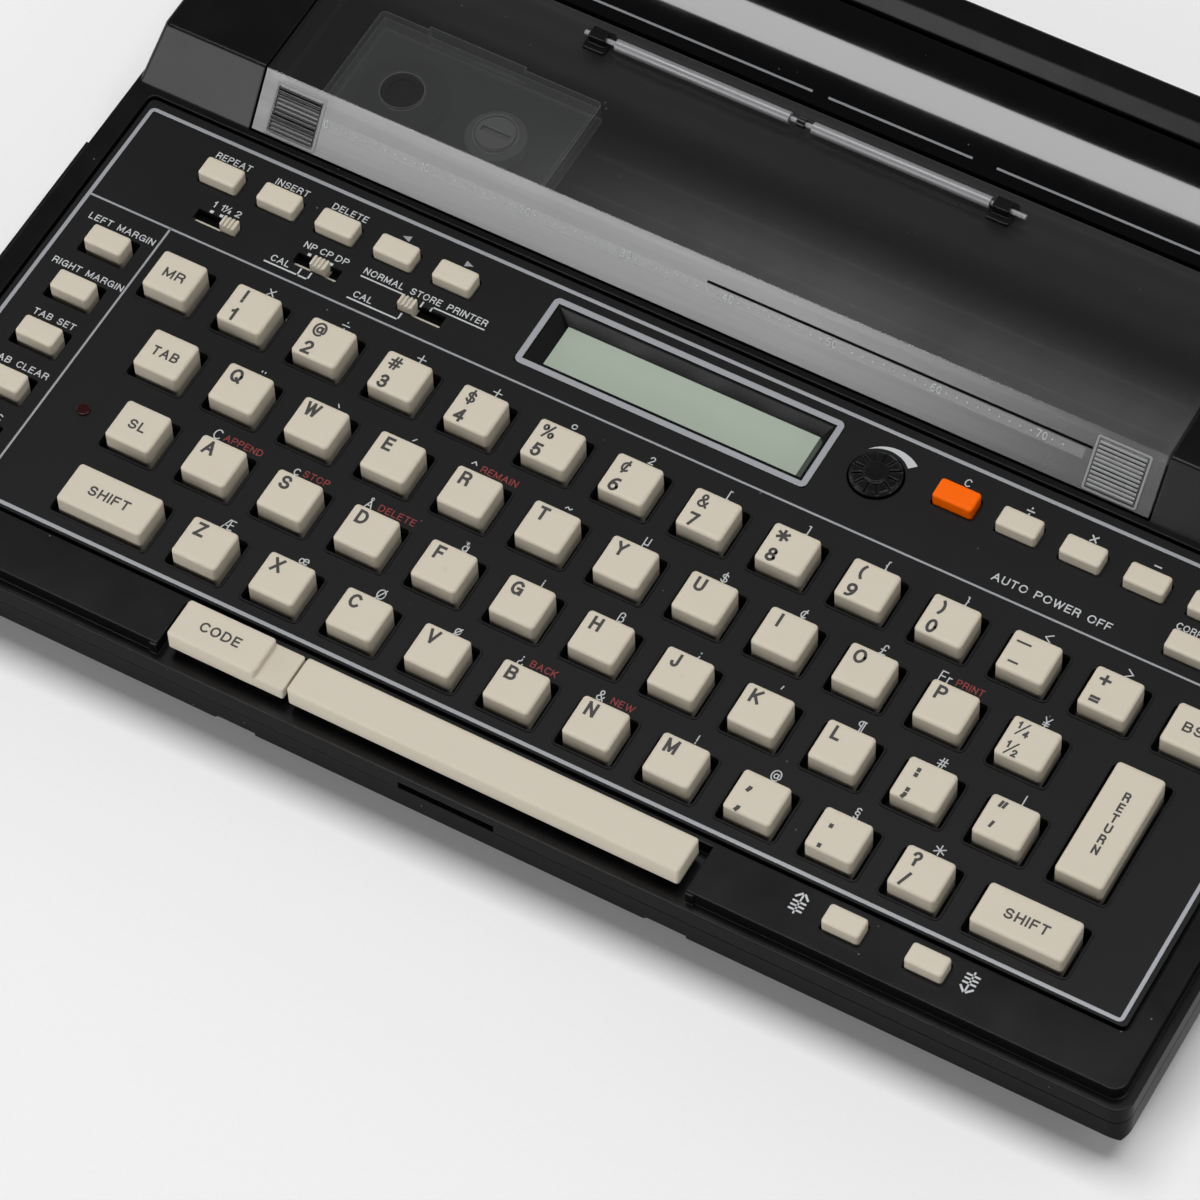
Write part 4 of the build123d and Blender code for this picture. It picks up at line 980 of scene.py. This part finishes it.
def hang(name: str, data: bpy.types.Mesh, body: str,
         materials: Sequence[bpy.types.Material]) -> bpy.types.Object:
    """Puts a mesh into the scene on its CAD body.

    Args:
        name: The piece's name.
        data: Its mesh, in metres.
        body: The CAD body it rides on.
        materials: Its finishes in order.

    Returns:
        The new object.
    """
    for material in materials:
        data.materials.append(material)
    thing = put(name, data)
    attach(thing, body)
    log.info("piece: %s on %s", name, body)
    return thing


# Sub-assemblies


@dataclass
class KeyLegends:
    """Grey legends on the key tops, each riding its own key or key row."""

    book: FinishBook
    cap: float = 3.55
    word_cap: float = 2.5
    left: float = -2.4
    upper: float = 2.35
    lower: float = -2.9
    weight: float = 0.19
    word_weight: float = 0.175
    sign_weight: float = 0.145
    dot_weight: float = 0.25
    fine_signs: str = "@%#$&¢"
    dots: str = ",.:;"
    fraction_cap: float = 1.85
    fraction_weight: float = 0.22
    slash_width: float = 0.36
    nub: Point = (0.6, -0.6)
    nub_radius: float = 0.42
    dash_half: float = 0.25
    return_cap: float = 2.3
    return_weight: float = 0.19
    return_top: Point = (126.0, -51.6)
    return_step: float = 2.84
    number_pairs: str = "!1 @2 #3 $4 %5 ¢6 &7 *8 (9 )0"
    letters: tuple[str, ...] = ("QWERTYUIOP", "ASDFGHJKL", "ZXCVBNM")
    words: dict[str, tuple[str, float, float, float]] = field(default_factory=lambda: {
        "mr_key": ("MR", -116.95, -30.4, 5.2), "tab_key": ("TAB", -107.4, -49.5, 6.5),
        "shift_lock_key": ("SL", -102.7, -68.5, 4.1), "backspace_key": ("BS", 130.7, -30.4, 4.6),
        "left_shift_key": ("SHIFT", -98.0, -87.5, 10.0), "right_shift_key": ("SHIFT", 121.5, -87.6, 10.0),
        "code_key": ("CODE", -58.9, -105.9, 9.7)})

    def build(self) -> None:
        """Draws every legend."""
        grey = [self.book["legend_grey"]]
        pen = Pen(KEY_Z)
        for i, pair in enumerate(self.number_pairs.split()):
            x = ROW_X[0] + PITCH * i
            self._pair(pen, x, ROW_Y[0], pair[0], pair[1])
        x = ROW_X[0] + PITCH * 10 + self.left
        for half, up in ((1.7, self.upper), (1.2, self.lower)):
            pen.box(x - half, x + half, ROW_Y[0] + up - self.dash_half, ROW_Y[0] + up + self.dash_half)
        self._pair(pen, ROW_X[0] + PITCH * 11, ROW_Y[0], "+", "=")
        pen.piece("number_legends", "number_keys_body", "key_cream", grey)
        rows = (("upper_letter", 1, self.letters[0], (("¼", "½"),)),
                ("home_letter", 2, self.letters[1], ((":", ";"), ('"', "'"))),
                ("lower_letter", 3, self.letters[2], ((",", ","), (".", "."), ("?", "/"))))
        for name, row, letters, pairs in rows:
            pen = Pen(KEY_Z)
            for i, letter in enumerate(letters):
                pen.word(letter, ROW_X[row] + PITCH * i + self.left, ROW_Y[row] + self.upper, self.cap,
                         weight=self.weight)
            for i, (high, low) in enumerate(pairs):
                self._pair(pen, ROW_X[row] + PITCH * (len(letters) + i), ROW_Y[row], high, low)
            for i, letter in enumerate(letters):
                if letter in "FJ":
                    pen.disc(ROW_X[row] + PITCH * i + self.nub[0], ROW_Y[row] + self.nub[1],
                             self.nub_radius, 1)
            pen.piece(name + "_legends", name + "_keys_body", "key_cream", grey + [self.book["key_cream"]])
        for node, (text, x, y, width) in self.words.items():
            pen = Pen(KEY_Z)
            pen.word(text, x, y, self.word_cap, width=width, weight=self.word_weight)
            pen.piece(node.replace("_key", "_legend"), node + "_body", "key_cream", grey)
        pen = Pen(KEY_Z)
        for i, letter in enumerate("RETURN"):
            pen.word(letter, self.return_top[0], self.return_top[1] - self.return_step * i, self.return_cap,
                     weight=self.return_weight)
        pen.piece("return_legend", "return_key_body", "key_cream", grey)

    def _pair(self, pen: Pen, x: float, y: float, high: str, low: str) -> None:
        """Draws a shifted sign above a plain one at the key's left.

        Args:
            pen: The drawing.
            x: Middle of the key.
            y: Middle of the key.
            high: The shifted sign.
            low: The plain sign.
        """
        for text, up in ((high, self.upper), (low, self.lower)):
            if text in "¼½":
                self._fraction(pen, x + self.left, y + up, "4" if text == "¼" else "2")
            else:
                weight = self.dot_weight if text in self.dots else self.weight
                weight = self.sign_weight if text in self.fine_signs else weight
                pen.word(text, x + self.left, y + up, self.cap, weight=weight)

    def _fraction(self, pen: Pen, x: float, y: float, lower: str) -> None:
        """Draws a one over another digit, with a slash between them.

        Args:
            pen: The drawing.
            x: Middle of the fraction.
            y: Middle of the fraction.
            lower: The digit under the slash.
        """
        pen.word("1", x - 1.05, y + 0.8, self.fraction_cap, weight=self.fraction_weight)
        pen.stroke([(x - 1.0, y - 1.6), (x + 0.9, y + 1.6)], self.slash_width)
        pen.word(lower, x + 1.05, y - 0.85, self.fraction_cap, weight=self.fraction_weight)


@dataclass
class PanelPrint:
    """Printed lines, marks and words on the key panel and the deck."""

    book: FinishBook
    frame: tuple[float, float, float, float] = (-148.05, 148.1, -97.4, 9.85)
    line: float = 0.9
    thin: float = 0.5
    divider_y: float = -17.43
    divider_x: float = -126.37
    mark_y: float = 8.55
    mark_cap: float = 2.7
    bracket_cap: float = 2.3
    clear_cap: float = 2.1
    calc_cap: float = 2.9
    power_cap: float = 2.05
    sign_cap: float = 3.1
    label_cap: float = 1.75
    label_weight: float = 0.15
    stroke_width: float = 0.28
    red_weight: float = 0.135
    corner: float = 1.3
    half_cap: float = 0.95
    half_weight: float = 0.26
    half_digits: tuple[tuple[str, float, float], ...] = (("1", -118.5, -6.5), ("2", -117.3, -7.4))
    half_slash: tuple[Point, Point] = ((-118.5, -7.9), (-117.4, -6.1))
    slash_width: float = 0.2
    sign_weight: float = 0.13
    arrows: tuple[tuple[Point, Point, Point], ...] = (
        ((-80.1, 5.1), (-78.1, 4.3), (-78.1, 5.9)), ((-64.1, 4.3), (-62.1, 5.1), (-64.1, 5.9)))
    detents: tuple[float, ...] = (-120.8, -118.3, -115.9, -95.6, -92.8, -90.0)
    detent_half: float = 0.42
    detent_y: Point = (-9.45, -8.7)
    leaders: tuple[tuple[float, tuple[Point, ...]], ...] = (
        (0.4, ((-103.5, -15.1), (-92.6, -15.1), (-92.6, -13.3))),
        (0.4, ((-95.2, -15.1), (-95.2, -13.3))),
        (0.4, ((-82.3, -15.1), (-69.6, -15.1), (-69.6, -13.4))),
        (0.36, ((-82.6, -8.65), (-71.6, -8.65), (-71.6, -9.6))),
        (0.42, ((-66.9, -8.5), (-66.9, -9.7))),
        (0.36, ((-64.4, -9.7), (-64.4, -8.65), (-51.6, -8.65))))
    dial: Point = (41.65, -2.4)
    arc_radius: float = 7.1
    arc_start: float = 131.0
    arc_sweep: float = 88.0
    arc_steps: int = 22
    arc_widths: Point = (0.05, 2.15)
    paper_signs: tuple[tuple[float, float], ...] = ((77.7, 1.0), (116.9, -1.0))
    paper_sign_y: float = -103.6
    high_signs: str = "×÷+−°*^~´`¨<>²µ"
    brackets: str = "[]{}|!;'"
    white_marks: tuple[tuple[int, int, float, str], ...] = (
        (0, 0, 0.4, "×"), (0, 1, 0.3, "÷"), (0, 2, 0.4, "+"), (0, 3, 0.4, "+"), (0, 4, 0.4, "°"),
        (0, 5, 0.4, "²"), (0, 6, 0.3, "["), (0, 7, 0.3, "]"), (0, 8, 0.3, "{"), (0, 9, 0.3, "}"),
        (0, 10, 0.4, "<"), (0, 11, 0.4, ">"), (1, 0, 0.5, "¨"), (1, 1, 0.4, "`"), (1, 2, 0.4, "´"),
        (1, 3, -4.2, "^"), (1, 4, 0.3, "~"), (1, 5, 0.2, "µ"), (1, 6, 0.1, "$"), (1, 7, 0.1, "¢"),
        (1, 8, 0.1, "£"), (1, 9, -4.4, "Fr"), (1, 10, 0.1, "¥"), (2, 0, -4.5, "Ç"), (2, 1, -3.4, "ç"),
        (2, 2, -4.4, "Å"), (2, 3, 0.3, "å"), (2, 4, 0.3, "¡"), (2, 5, 0.1, "ß"), (2, 6, 0.1, ";"),
        (2, 7, 0.1, "'"), (2, 8, 0.0, "¶"), (2, 9, 0.0, "#"), (2, 10, 0.0, "|"), (3, 0, 0.4, "Æ"),
        (3, 1, 0.4, "æ"), (3, 2, 0.1, "Ø"), (3, 3, 0.1, "ø"), (3, 4, -3.6, "¿"), (3, 5, -3.6, "&"),
        (3, 6, 0.2, "!"), (3, 7, -0.2, "@"), (3, 8, -0.2, "§"), (3, 9, -0.2, "*"))
    red_words: tuple[tuple[int, int, float, str, float], ...] = (
        (1, 3, 2.2, "REMAIN", 8.9), (1, 9, 1.3, "PRINT", 6.4), (2, 0, 2.0, "APPEND", 9.5),
        (2, 1, 1.3, "STOP", 6.3), (2, 2, 2.3, "DELETE", 9.0), (3, 4, 1.6, "BACK", 6.3),
        (3, 5, 1.5, "NEW", 5.3))
    labels: tuple[tuple[str, float, float, float], ...] = (
        ("REPEAT", -123.6, 5.1, 9.0), ("INSERT", -108.4, 5.1, 8.4), ("DELETE", -93.5, 5.1, 8.9),
        ("LEFT MARGIN", -135.8, -22.5, 16.8), ("RIGHT MARGIN", -135.9, -36.5, 18.0),
        ("TAB SET", -135.8, -50.5, 10.6), ("TAB CLEAR", -135.8, -64.5, 14.5),
        ("RELOC", -135.8, -78.5, 8.6), ("1", -121.2, -6.95, 0.0), ("1", -119.2, -6.95, 0.0),
        ("2", -115.2, -6.95, 1.3), ("NP", -96.5, -6.95, 3.0), ("CP", -92.45, -6.95, 3.1),
        ("DP", -88.4, -6.95, 3.2), ("CAL", -100.35, -13.5, 4.7), ("NORMAL", -77.7, -6.95, 10.0),
        ("STORE", -67.05, -6.95, 7.7), ("PRINTER", -56.6, -6.95, 10.0), ("CAL", -79.25, -13.5, 4.7),
        ("AUTO POWER OFF", 89.4, -13.4, 28.0), ("CORRECT", 120.3, -6.2, 10.4))
    signs: tuple[tuple[str, float, float], ...] = (
        ("C", 59.9, 5.2), ("÷", 75.0, 5.2), ("×", 90.1, 5.2), ("−", 105.1, 5.2), ("+", 120.2, 5.2))

    def build(self) -> None:
        """Draws the panel's print and the deck's paper signs."""
        inks = [self.book["ink_white"], self.book["ink_red"], self.book["ink_silver"]]
        pen = Pen(PANEL_Z, 0.025)
        x0, x1, y0, y1 = self.frame
        pen.ring(x0, x1, y0, y1, self.corner, self.line, Ink.SILVER.value)
        half = self.thin / 2
        pen.box(x0 + self.line, x1 - self.line, self.divider_y - half, self.divider_y + half,
                Ink.SILVER.value)
        pen.box(self.divider_x - half, self.divider_x + half, y0 + self.line, self.divider_y,
                Ink.SILVER.value)
        for row, index, shift, text in self.white_marks:
            cap = self.sign_cap if text in self.high_signs else self.mark_cap
            cap = self.bracket_cap if text in self.brackets else cap
            pen.word(text, ROW_X[row] + PITCH * index + shift, ROW_Y[row] + self.mark_y, cap,
                     weight=self.stroke_width / cap)
        for row, index, shift, text, width in self.red_words:
            pen.word(text, ROW_X[row] + PITCH * index + shift, ROW_Y[row] + self.mark_y, self.label_cap,
                     Ink.RED.value, width=width, weight=self.red_weight)
        for text, x, y, width in self.labels:
            cap = self.power_cap if text.startswith("AUTO") else self.label_cap
            pen.word(text, x, y, cap, width=width or None, weight=self.label_weight)
        for text, x, y in self.half_digits:
            pen.word(text, x, y, self.half_cap, weight=self.half_weight)
        pen.stroke(self.half_slash, self.slash_width)
        for text, x, y in self.signs:
            cap = self.clear_cap if text == "C" else self.calc_cap
            pen.word(text, x, y, cap, weight=self.sign_weight)
        for arrow in self.arrows:
            pen.plate(arrow, Ink.SILVER.value)
        for x in self.detents:
            pen.box(x - self.detent_half, x + self.detent_half, *self.detent_y)
        for width, points in self.leaders:
            pen.stroke(points, width)
        self._contrast_arc(pen)
        for x, turn in self.paper_signs:
            self._paper_sign(pen, x, self.paper_sign_y, turn)
        pen.piece("panel_print", "base", "panel_black", inks)

    def _contrast_arc(self, pen: Pen) -> None:
        """Draws the tapering arc beside the contrast dial."""
        inner, outer = [], []
        x, y = self.dial
        thin, thick = self.arc_widths
        for step in range(self.arc_steps + 1):
            share = step / self.arc_steps
            turn = math.radians(self.arc_start - self.arc_sweep * share)
            reach = self.arc_radius + thin + (thick - thin) * share
            inner.append((x + self.arc_radius * math.cos(turn), y + self.arc_radius * math.sin(turn)))
            outer.append((x + reach * math.cos(turn), y + reach * math.sin(turn)))
        pen.band(outer, inner, False, Ink.WHITE.value)

    @staticmethod
    def _paper_sign(pen: Pen, x: float, y: float, turn: float) -> None:
        """Draws an arrow crossed by three bars, pointing to the rear for turn 1.

        Args:
            pen: The drawing.
            x: Middle of the sign.
            y: Middle of the sign.
            turn: 1 to the rear, -1 to the front.
        """
        pen.stroke([(x, y - 2.5 * turn), (x, y + 2.2 * turn)], 0.42)
        for side in (-1.0, 1.0):
            pen.stroke([(x + 1.35 * side, y + 1.35 * turn), (x, y + 2.7 * turn)], 0.5)
        for up in (-1.75, -0.75, 0.25):
            pen.stroke([(x - 1.35, y + up * turn), (x + 1.35, y + up * turn)], 0.46)


@dataclass
class DisplayTrim:
    """Silver line round the display bezel."""

    book: FinishBook
    bezel: tuple[float, float, float, float] = (-42.05, 29.9, -12.8, 6.75)
    width: float = 1.6
    corner: float = 1.5
    inset: float = 0.1

    def build(self) -> None:
        """Draws the bezel line on the bezel's top."""
        pen = Pen(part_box("display_bezel")[1][2] / MM)
        x0, x1, y0, y1 = self.bezel
        pen.ring(x0 + self.inset, x1 - self.inset, y0 + self.inset, y1 - self.inset, self.corner, self.width)
        pen.piece("display_line", "base", "bezel_black", [self.book["ink_silver"]])


@dataclass
class SliderTrim:
    """Painted shadow: dark strips over the rear half of each slider's tongue on both sides of the knob,
    where the slot's shade falls.
    """

    book: FinishBook
    tongues: tuple[tuple[str, float, float, float], ...] = (
        ("line_space", -124.4, -106.8, -114.8), ("pitch", -101.25, -83.65, -91.6),
        ("mode", -77.3, -59.8, -69.3))
    knob_half: float = 1.9
    top: float = 21.2
    y0: float = -11.15
    y1: float = -8.2
    inset: float = 0.2

    def build(self) -> None:
        """Draws both painted shadow strips of each slider."""
        for name, x0, x1, knob in self.tongues:
            pen = Pen(self.top)
            # Painted shadow: the dark strips beside the knob.
            pen.box(x0 + self.inset, knob - self.knob_half, self.y0, self.y1)
            pen.box(knob + self.knob_half, x1 - self.inset, self.y0, self.y1)
            pen.piece(name + "_shade", name, "key_cream", [self.book["slot_shadow"]])


@dataclass
class CoverPrint:
    """Column scale on the cover's slanted face, and the ribbed finger grip at each end of it, with painted
    shade and painted highlight on the grips.
    """

    book: FinishBook
    foot: Point = (14.8, 23.65)
    crest: Point = (23.7, 35.65)
    zero_x: float = -107.9
    column: float = 2.54
    last_x: float = 76.0
    scale_up: float = 7.9
    # Rib finishes: a shaded copy on the left grip and a lit copy on the right, as painted shade and painted
    # highlight.
    grips: tuple[tuple[str, float, str], ...] = (("left", -121.1, "rib_painted_shade"), ("right", 82.6, "rib_painted_highlight"))
    grip_width: float = 11.1
    ground_half: float = 1.3
    digit_cap: float = 1.9
    dot_radius: float = 0.24
    slot_x: float = -12.0
    slot_up: Point = (9.5, 10.1)
    ribs: int = 11
    rib_pitch: float = 1.0
    rib_foot: float = 1.5
    rib_half: float = 0.38
    rib_height: float = 0.36
    rib_base: float = 0.12
    rib_steps: int = 6
    skirt: float = -0.2
    frame_gap: float = 0.9
    slope: Matrix = field(init=False)

    def __post_init__(self) -> None:
        """Works out the slope's own frame: across it, up it and out of it."""
        rise = Vector((0.0, self.crest[0] - self.foot[0], self.crest[1] - self.foot[1])).normalized()
        face = Vector((1.0, 0.0, 0.0)).cross(rise)
        turn = Matrix(((1.0, 0.0, 0.0), rise, face)).transposed().to_4x4()
        self.slope = Matrix.Translation((0.0, self.foot[0], self.foot[1])) @ turn

    def build(self) -> None:
        """Draws the scale, its frosted ground, the dark slot line and the grips on the slope."""
        pen = self._pen(0.02)
        pen.box(self.zero_x - 2.5, self.last_x + 4.0, self.scale_up - self.ground_half,
                self.scale_up + self.ground_half)
        pen.piece("scale_ground", "cover", "smoked_clear", [self.book["scale_frost"]])
        pen = self._pen(0.05)
        step, x = 0, self.zero_x
        while x < self.last_x:
            if step % 10 == 0:
                pen.word(str(step), x, self.scale_up + 0.1, self.digit_cap, weight=0.14)
            else:
                pen.disc(x, self.scale_up + (0.5 if step % 5 == 0 else 0.0), self.dot_radius, sides=10)
            step, x = step + 1, x + self.column
        pen.piece("cover_scale", "cover", "smoked_clear", [self.book["ink_smoke"]])
        pen = self._pen(0.02)
        pen.box(self.slot_x, self.grips[1][1] - 1.2, *self.slot_up)
        pen.piece("scale_slot", "cover", "smoked_clear", [self.book["slot_shadow"]])
        for side, x0, finish in self.grips:
            self._grip(side, x0, finish)

    def _pen(self, lift: float) -> Pen:
        """A drawing on the slope."""
        pen = Pen(0.0, lift)
        pen.frame = self.slope
        return pen

    def _grip(self, side: str, x0: float, finish: str) -> None:
        """Builds one grip: its rounded ribs, a shaded copy on the left grip and a lit copy on the right as
        painted shade and painted highlight, a ground between them painted as shade, and a light frame beside
        them as a painted highlight.

        Args:
            side: Which end, for the pieces' names.
            x0: The grip's left edge.
            finish: Finish of the ribs, with its painted shade or painted highlight.
        """
        x1 = x0 + self.grip_width
        profile = self._rib_profile()
        mesh = bmesh.new()
        rows = []
        for x in (x0, x1):
            rows.append([mesh.verts.new((self.slope @ Vector((x, up, out))) * MM) for up, out in profile])
        for i in range(len(profile) - 1):
            quad = mesh.faces.new((rows[0][i], rows[1][i], rows[1][i + 1], rows[0][i + 1]))
            # Painted shade: the flat ground between the ribs takes the dark shadow finish.
            quad.material_index = 1 if max(profile[i][1], profile[i + 1][1]) < self.rib_base + 0.01 else 0
        for x, row in zip((x0, x1), rows):
            feet = [mesh.verts.new((self.slope @ Vector((x, up, self.skirt))) * MM)
                    for up in (profile[-1][0], profile[0][0])]
            mesh.faces.new([*row, *feet])
        bmesh.ops.remove_doubles(mesh, verts=mesh.verts, dist=1e-7)
        bmesh.ops.recalc_face_normals(mesh, faces=mesh.faces)
        name = "grip_ribs_" + side
        data = bpy.data.meshes.new(name)
        mesh.to_mesh(data)
        mesh.free()
        hang(name, data, "cover", [self.book[finish], self.book["slot_shadow"]])
        # Painted highlight: the light frame round the ribs.
        pen = self._pen(0.06)
        top = self.rib_foot + self.ribs * self.rib_pitch
        pen.ring(x0 - self.frame_gap, x1 + self.frame_gap, 0.5, top + 0.8, 0.6, 0.5)
        pen.piece("grip_frame_" + side, "cover", "smoked_clear", [self.book["frame_grey"]])

    def _rib_profile(self) -> list[Point]:
        """The grip's outline up the slope.

        Returns:
            Points up and out, each rib a half round on the flat ground.
        """
        profile = []
        for rib in range(self.ribs):
            low = self.rib_foot + rib * self.rib_pitch
            profile.append((low, self.rib_base))
            for step in range(self.rib_steps + 1):
                angle = math.pi * step / self.rib_steps
                profile.append((low + self.rib_half * (1.0 - math.cos(angle)),
                                self.rib_base + self.rib_height * math.sin(angle)))
        return profile


@dataclass
class GuideTrim:
    """Broken silver line printed across the foot of the paper guide."""

    book: FinishBook
    radius: float = 38.0
    centre_y: float = 98.5
    centre_z: float = -4.8
    y: float = 79.6
    width: float = 0.45
    lift: float = 0.03
    runs: tuple[Point, ...] = ((-104.0, -18.0), (-14.0, 22.0), (28.0, 80.0))

    def build(self) -> None:
        """Draws the line along the guide's curve."""
        mesh = bmesh.new()
        for x0, x1 in self.runs:
            rows = []
            for y in (self.y, self.y + self.width):
                height = self.centre_z + math.sqrt((self.radius + self.lift) ** 2 - (y - self.centre_y) ** 2)
                rows.append([mesh.verts.new(Vector((x, y, height)) * MM) for x in (x0, x1)])
            mesh.faces.new((rows[0][0], rows[0][1], rows[1][1], rows[1][0]))
        data = bpy.data.meshes.new("guide_line")
        mesh.to_mesh(data)
        mesh.free()
        hang("guide_line", data, "base", [self.book["ink_silver"]])


# Studio


@dataclass(frozen=True)
class SoftBox:
    """One rectangular studio light, in metres and watts, that the camera doesn't see."""

    name: str
    place: tuple[float, float, float]
    aim: tuple[float, float, float]
    width: float
    height: float
    power: float

    def build(self) -> None:
        """Adds the light, facing its aim."""
        data = bpy.data.lights.new(self.name, "AREA")
        data.shape = "RECTANGLE"
        data.size = self.width
        data.size_y = self.height
        data.energy = self.power
        thing = put(self.name, data)
        thing.visible_camera = False
        thing.location = self.place
        thing.rotation_euler = (Vector(self.aim) - Vector(self.place)).to_track_quat("-Z", "Y").to_euler()


@dataclass
class Studio:
    """Camera at the photograph's angle, pale floor, soft lights from above and the front left."""

    camera_place: tuple[float, float, float] = (0.376774, -0.652531, 1.072962)
    camera_right: tuple[float, float, float] = (0.8703677, 0.491514, -0.0295649)
    camera_up: tuple[float, float, float] = (-0.3948487, 0.7325472, 0.5544989)
    camera_back: tuple[float, float, float] = (0.2942016, -0.4709443, 0.8316591)
    lens: float = 179.5014
    floor_size: float = 14.0
    floor_low: Rgba = (0.9, 0.9, 0.9, 1.0)
    floor_high: Rgba = (0.93, 0.93, 0.93, 1.0)
    background: float = 0.86
    pale_from: float = 0.35
    pale_to: float = 1.0
    fibre_rate: float = 900.0
    sky_reach: Point = (0.25, 0.7)
    sky_levels: Point = (0.9, 0.05)
    lights: tuple[SoftBox, ...] = (
        SoftBox("overhead_light", (0.0, 0.28, 2.0), (0.0, 0.05, 0.0), 2.0, 0.84, 33.0),
        SoftBox("front_left_light", (-1.14, -1.55, 0.38), (-0.78, 0.0, 0.03), 1.5, 0.62, 12.5))

    def build(self) -> None:
        """Sets up the camera, the floor, the lights and the world."""
        self.camera()
        self.floor()
        for light in self.lights:
            light.build()
        self.world()

    def camera(self) -> None:
        """Adds the camera."""
        data = bpy.data.cameras.new("photo_camera")
        data.sensor_width = 36.0
        data.sensor_fit = "HORIZONTAL"
        data.lens = self.lens
        data.clip_end = 60.0
        thing = put("photo_camera", data)
        turn = Matrix((self.camera_right, self.camera_up, self.camera_back)).transposed().to_4x4()
        thing.matrix_world = Matrix.Translation(self.camera_place) @ turn
        bpy.context.scene.camera = thing

    def floor(self) -> None:
        """Adds the pale floor, which keeps the object's shadow."""
        half = self.floor_size / 2
        mesh = bmesh.new()
        signs = ((-1, -1), (1, -1), (1, 1), (-1, 1))
        mesh.faces.new([mesh.verts.new((x * half, y * half, 0)) for x, y in signs])
        bmesh.ops.subdivide_edges(mesh, edges=mesh.edges[:], cuts=3, use_grid_fill=True)
        data = bpy.data.meshes.new("floor")
        mesh.to_mesh(data)
        mesh.free()
        data.materials.append(self._floor_paper())
        put("floor", data)

    def _floor_paper(self) -> bpy.types.Material:
        """Builds the floor's material, which turns to the plain background far from the object.

        Returns:
            The material.
        """
        material, g, surface = blank("floor_paper")
        place = g.place()
        fibre = g.add("TexNoise", {"Vector": place, "Scale": self.fibre_rate, "Detail": 2.0}).outputs[0]
        body = g.add("BsdfPrincipled", {"Base Color": g.mix(fibre, self.floor_low, self.floor_high),
                                        "Roughness": 0.9, "Specular IOR Level": 0.1})
        apart = g.add("VectorMath", {0: place}, operation="LENGTH").outputs["Value"]
        far = g.ramp(apart, (self.pale_from, self.pale_to), curve="SMOOTHSTEP")
        ray = g.add("LightPath")
        seen = g.math("MAXIMUM", ray.outputs["Is Camera Ray"], ray.outputs["Is Glossy Ray"])
        seen = g.math("MAXIMUM", seen, ray.outputs["Is Transmission Ray"])
        glow = g.add("Emission", {"Color": WHITE, "Strength": self.background})
        blend = g.add("MixShader", {0: g.math("MULTIPLY", far, seen), 1: body.outputs[0],
                                    2: glow.outputs[0]})
        g.join(blend.outputs[0], surface)
        return material

    def world(self) -> None:
        """Sets a world that is pale low down and to the camera, and dim overhead."""
        world = bpy.data.worlds.new("studio")
        bpy.context.scene.world = world
        world.use_nodes = True
        world.node_tree.nodes.clear()
        g = Graph(world.node_tree)
        up = g.add("SeparateXYZ", {0: g.add("TexCoord").outputs["Generated"]}).outputs["Z"]
        fade = g.ramp(up, self.sky_reach, self.sky_levels, "SMOOTHSTEP")
        seen = g.add("LightPath").outputs["Is Camera Ray"]
        shown = g.add("Mix", {0: seen, 2: fade, 3: self.background}, data_type="FLOAT").outputs[0]
        back = g.add("Background", {"Color": WHITE, "Strength": shown})
        g.add("OutputWorld", {"Surface": back.outputs[0]})


def corners(box: tuple) -> list[list[float]]:
    """A box as plain lists of numbers."""
    return [[float(v) for v in corner] for corner in box]


def main() -> None:
    """Builds the dressed typewriter in its studio."""
    logging.basicConfig(level=logging.INFO, format="%(name)s: %(message)s")
    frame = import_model()
    bpy.context.scene.view_settings.view_transform = "Standard"
    Studio().build()
    book = FinishBook(Effects())
    book.dress_frame(frame)
    for kind in (KeyLegends, PanelPrint, DisplayTrim, SliderTrim, CoverPrint, GuideTrim):
        kind(book).build()
        log.info("built: %s", kind.__name__)


if __name__ == "__main__":
    main()
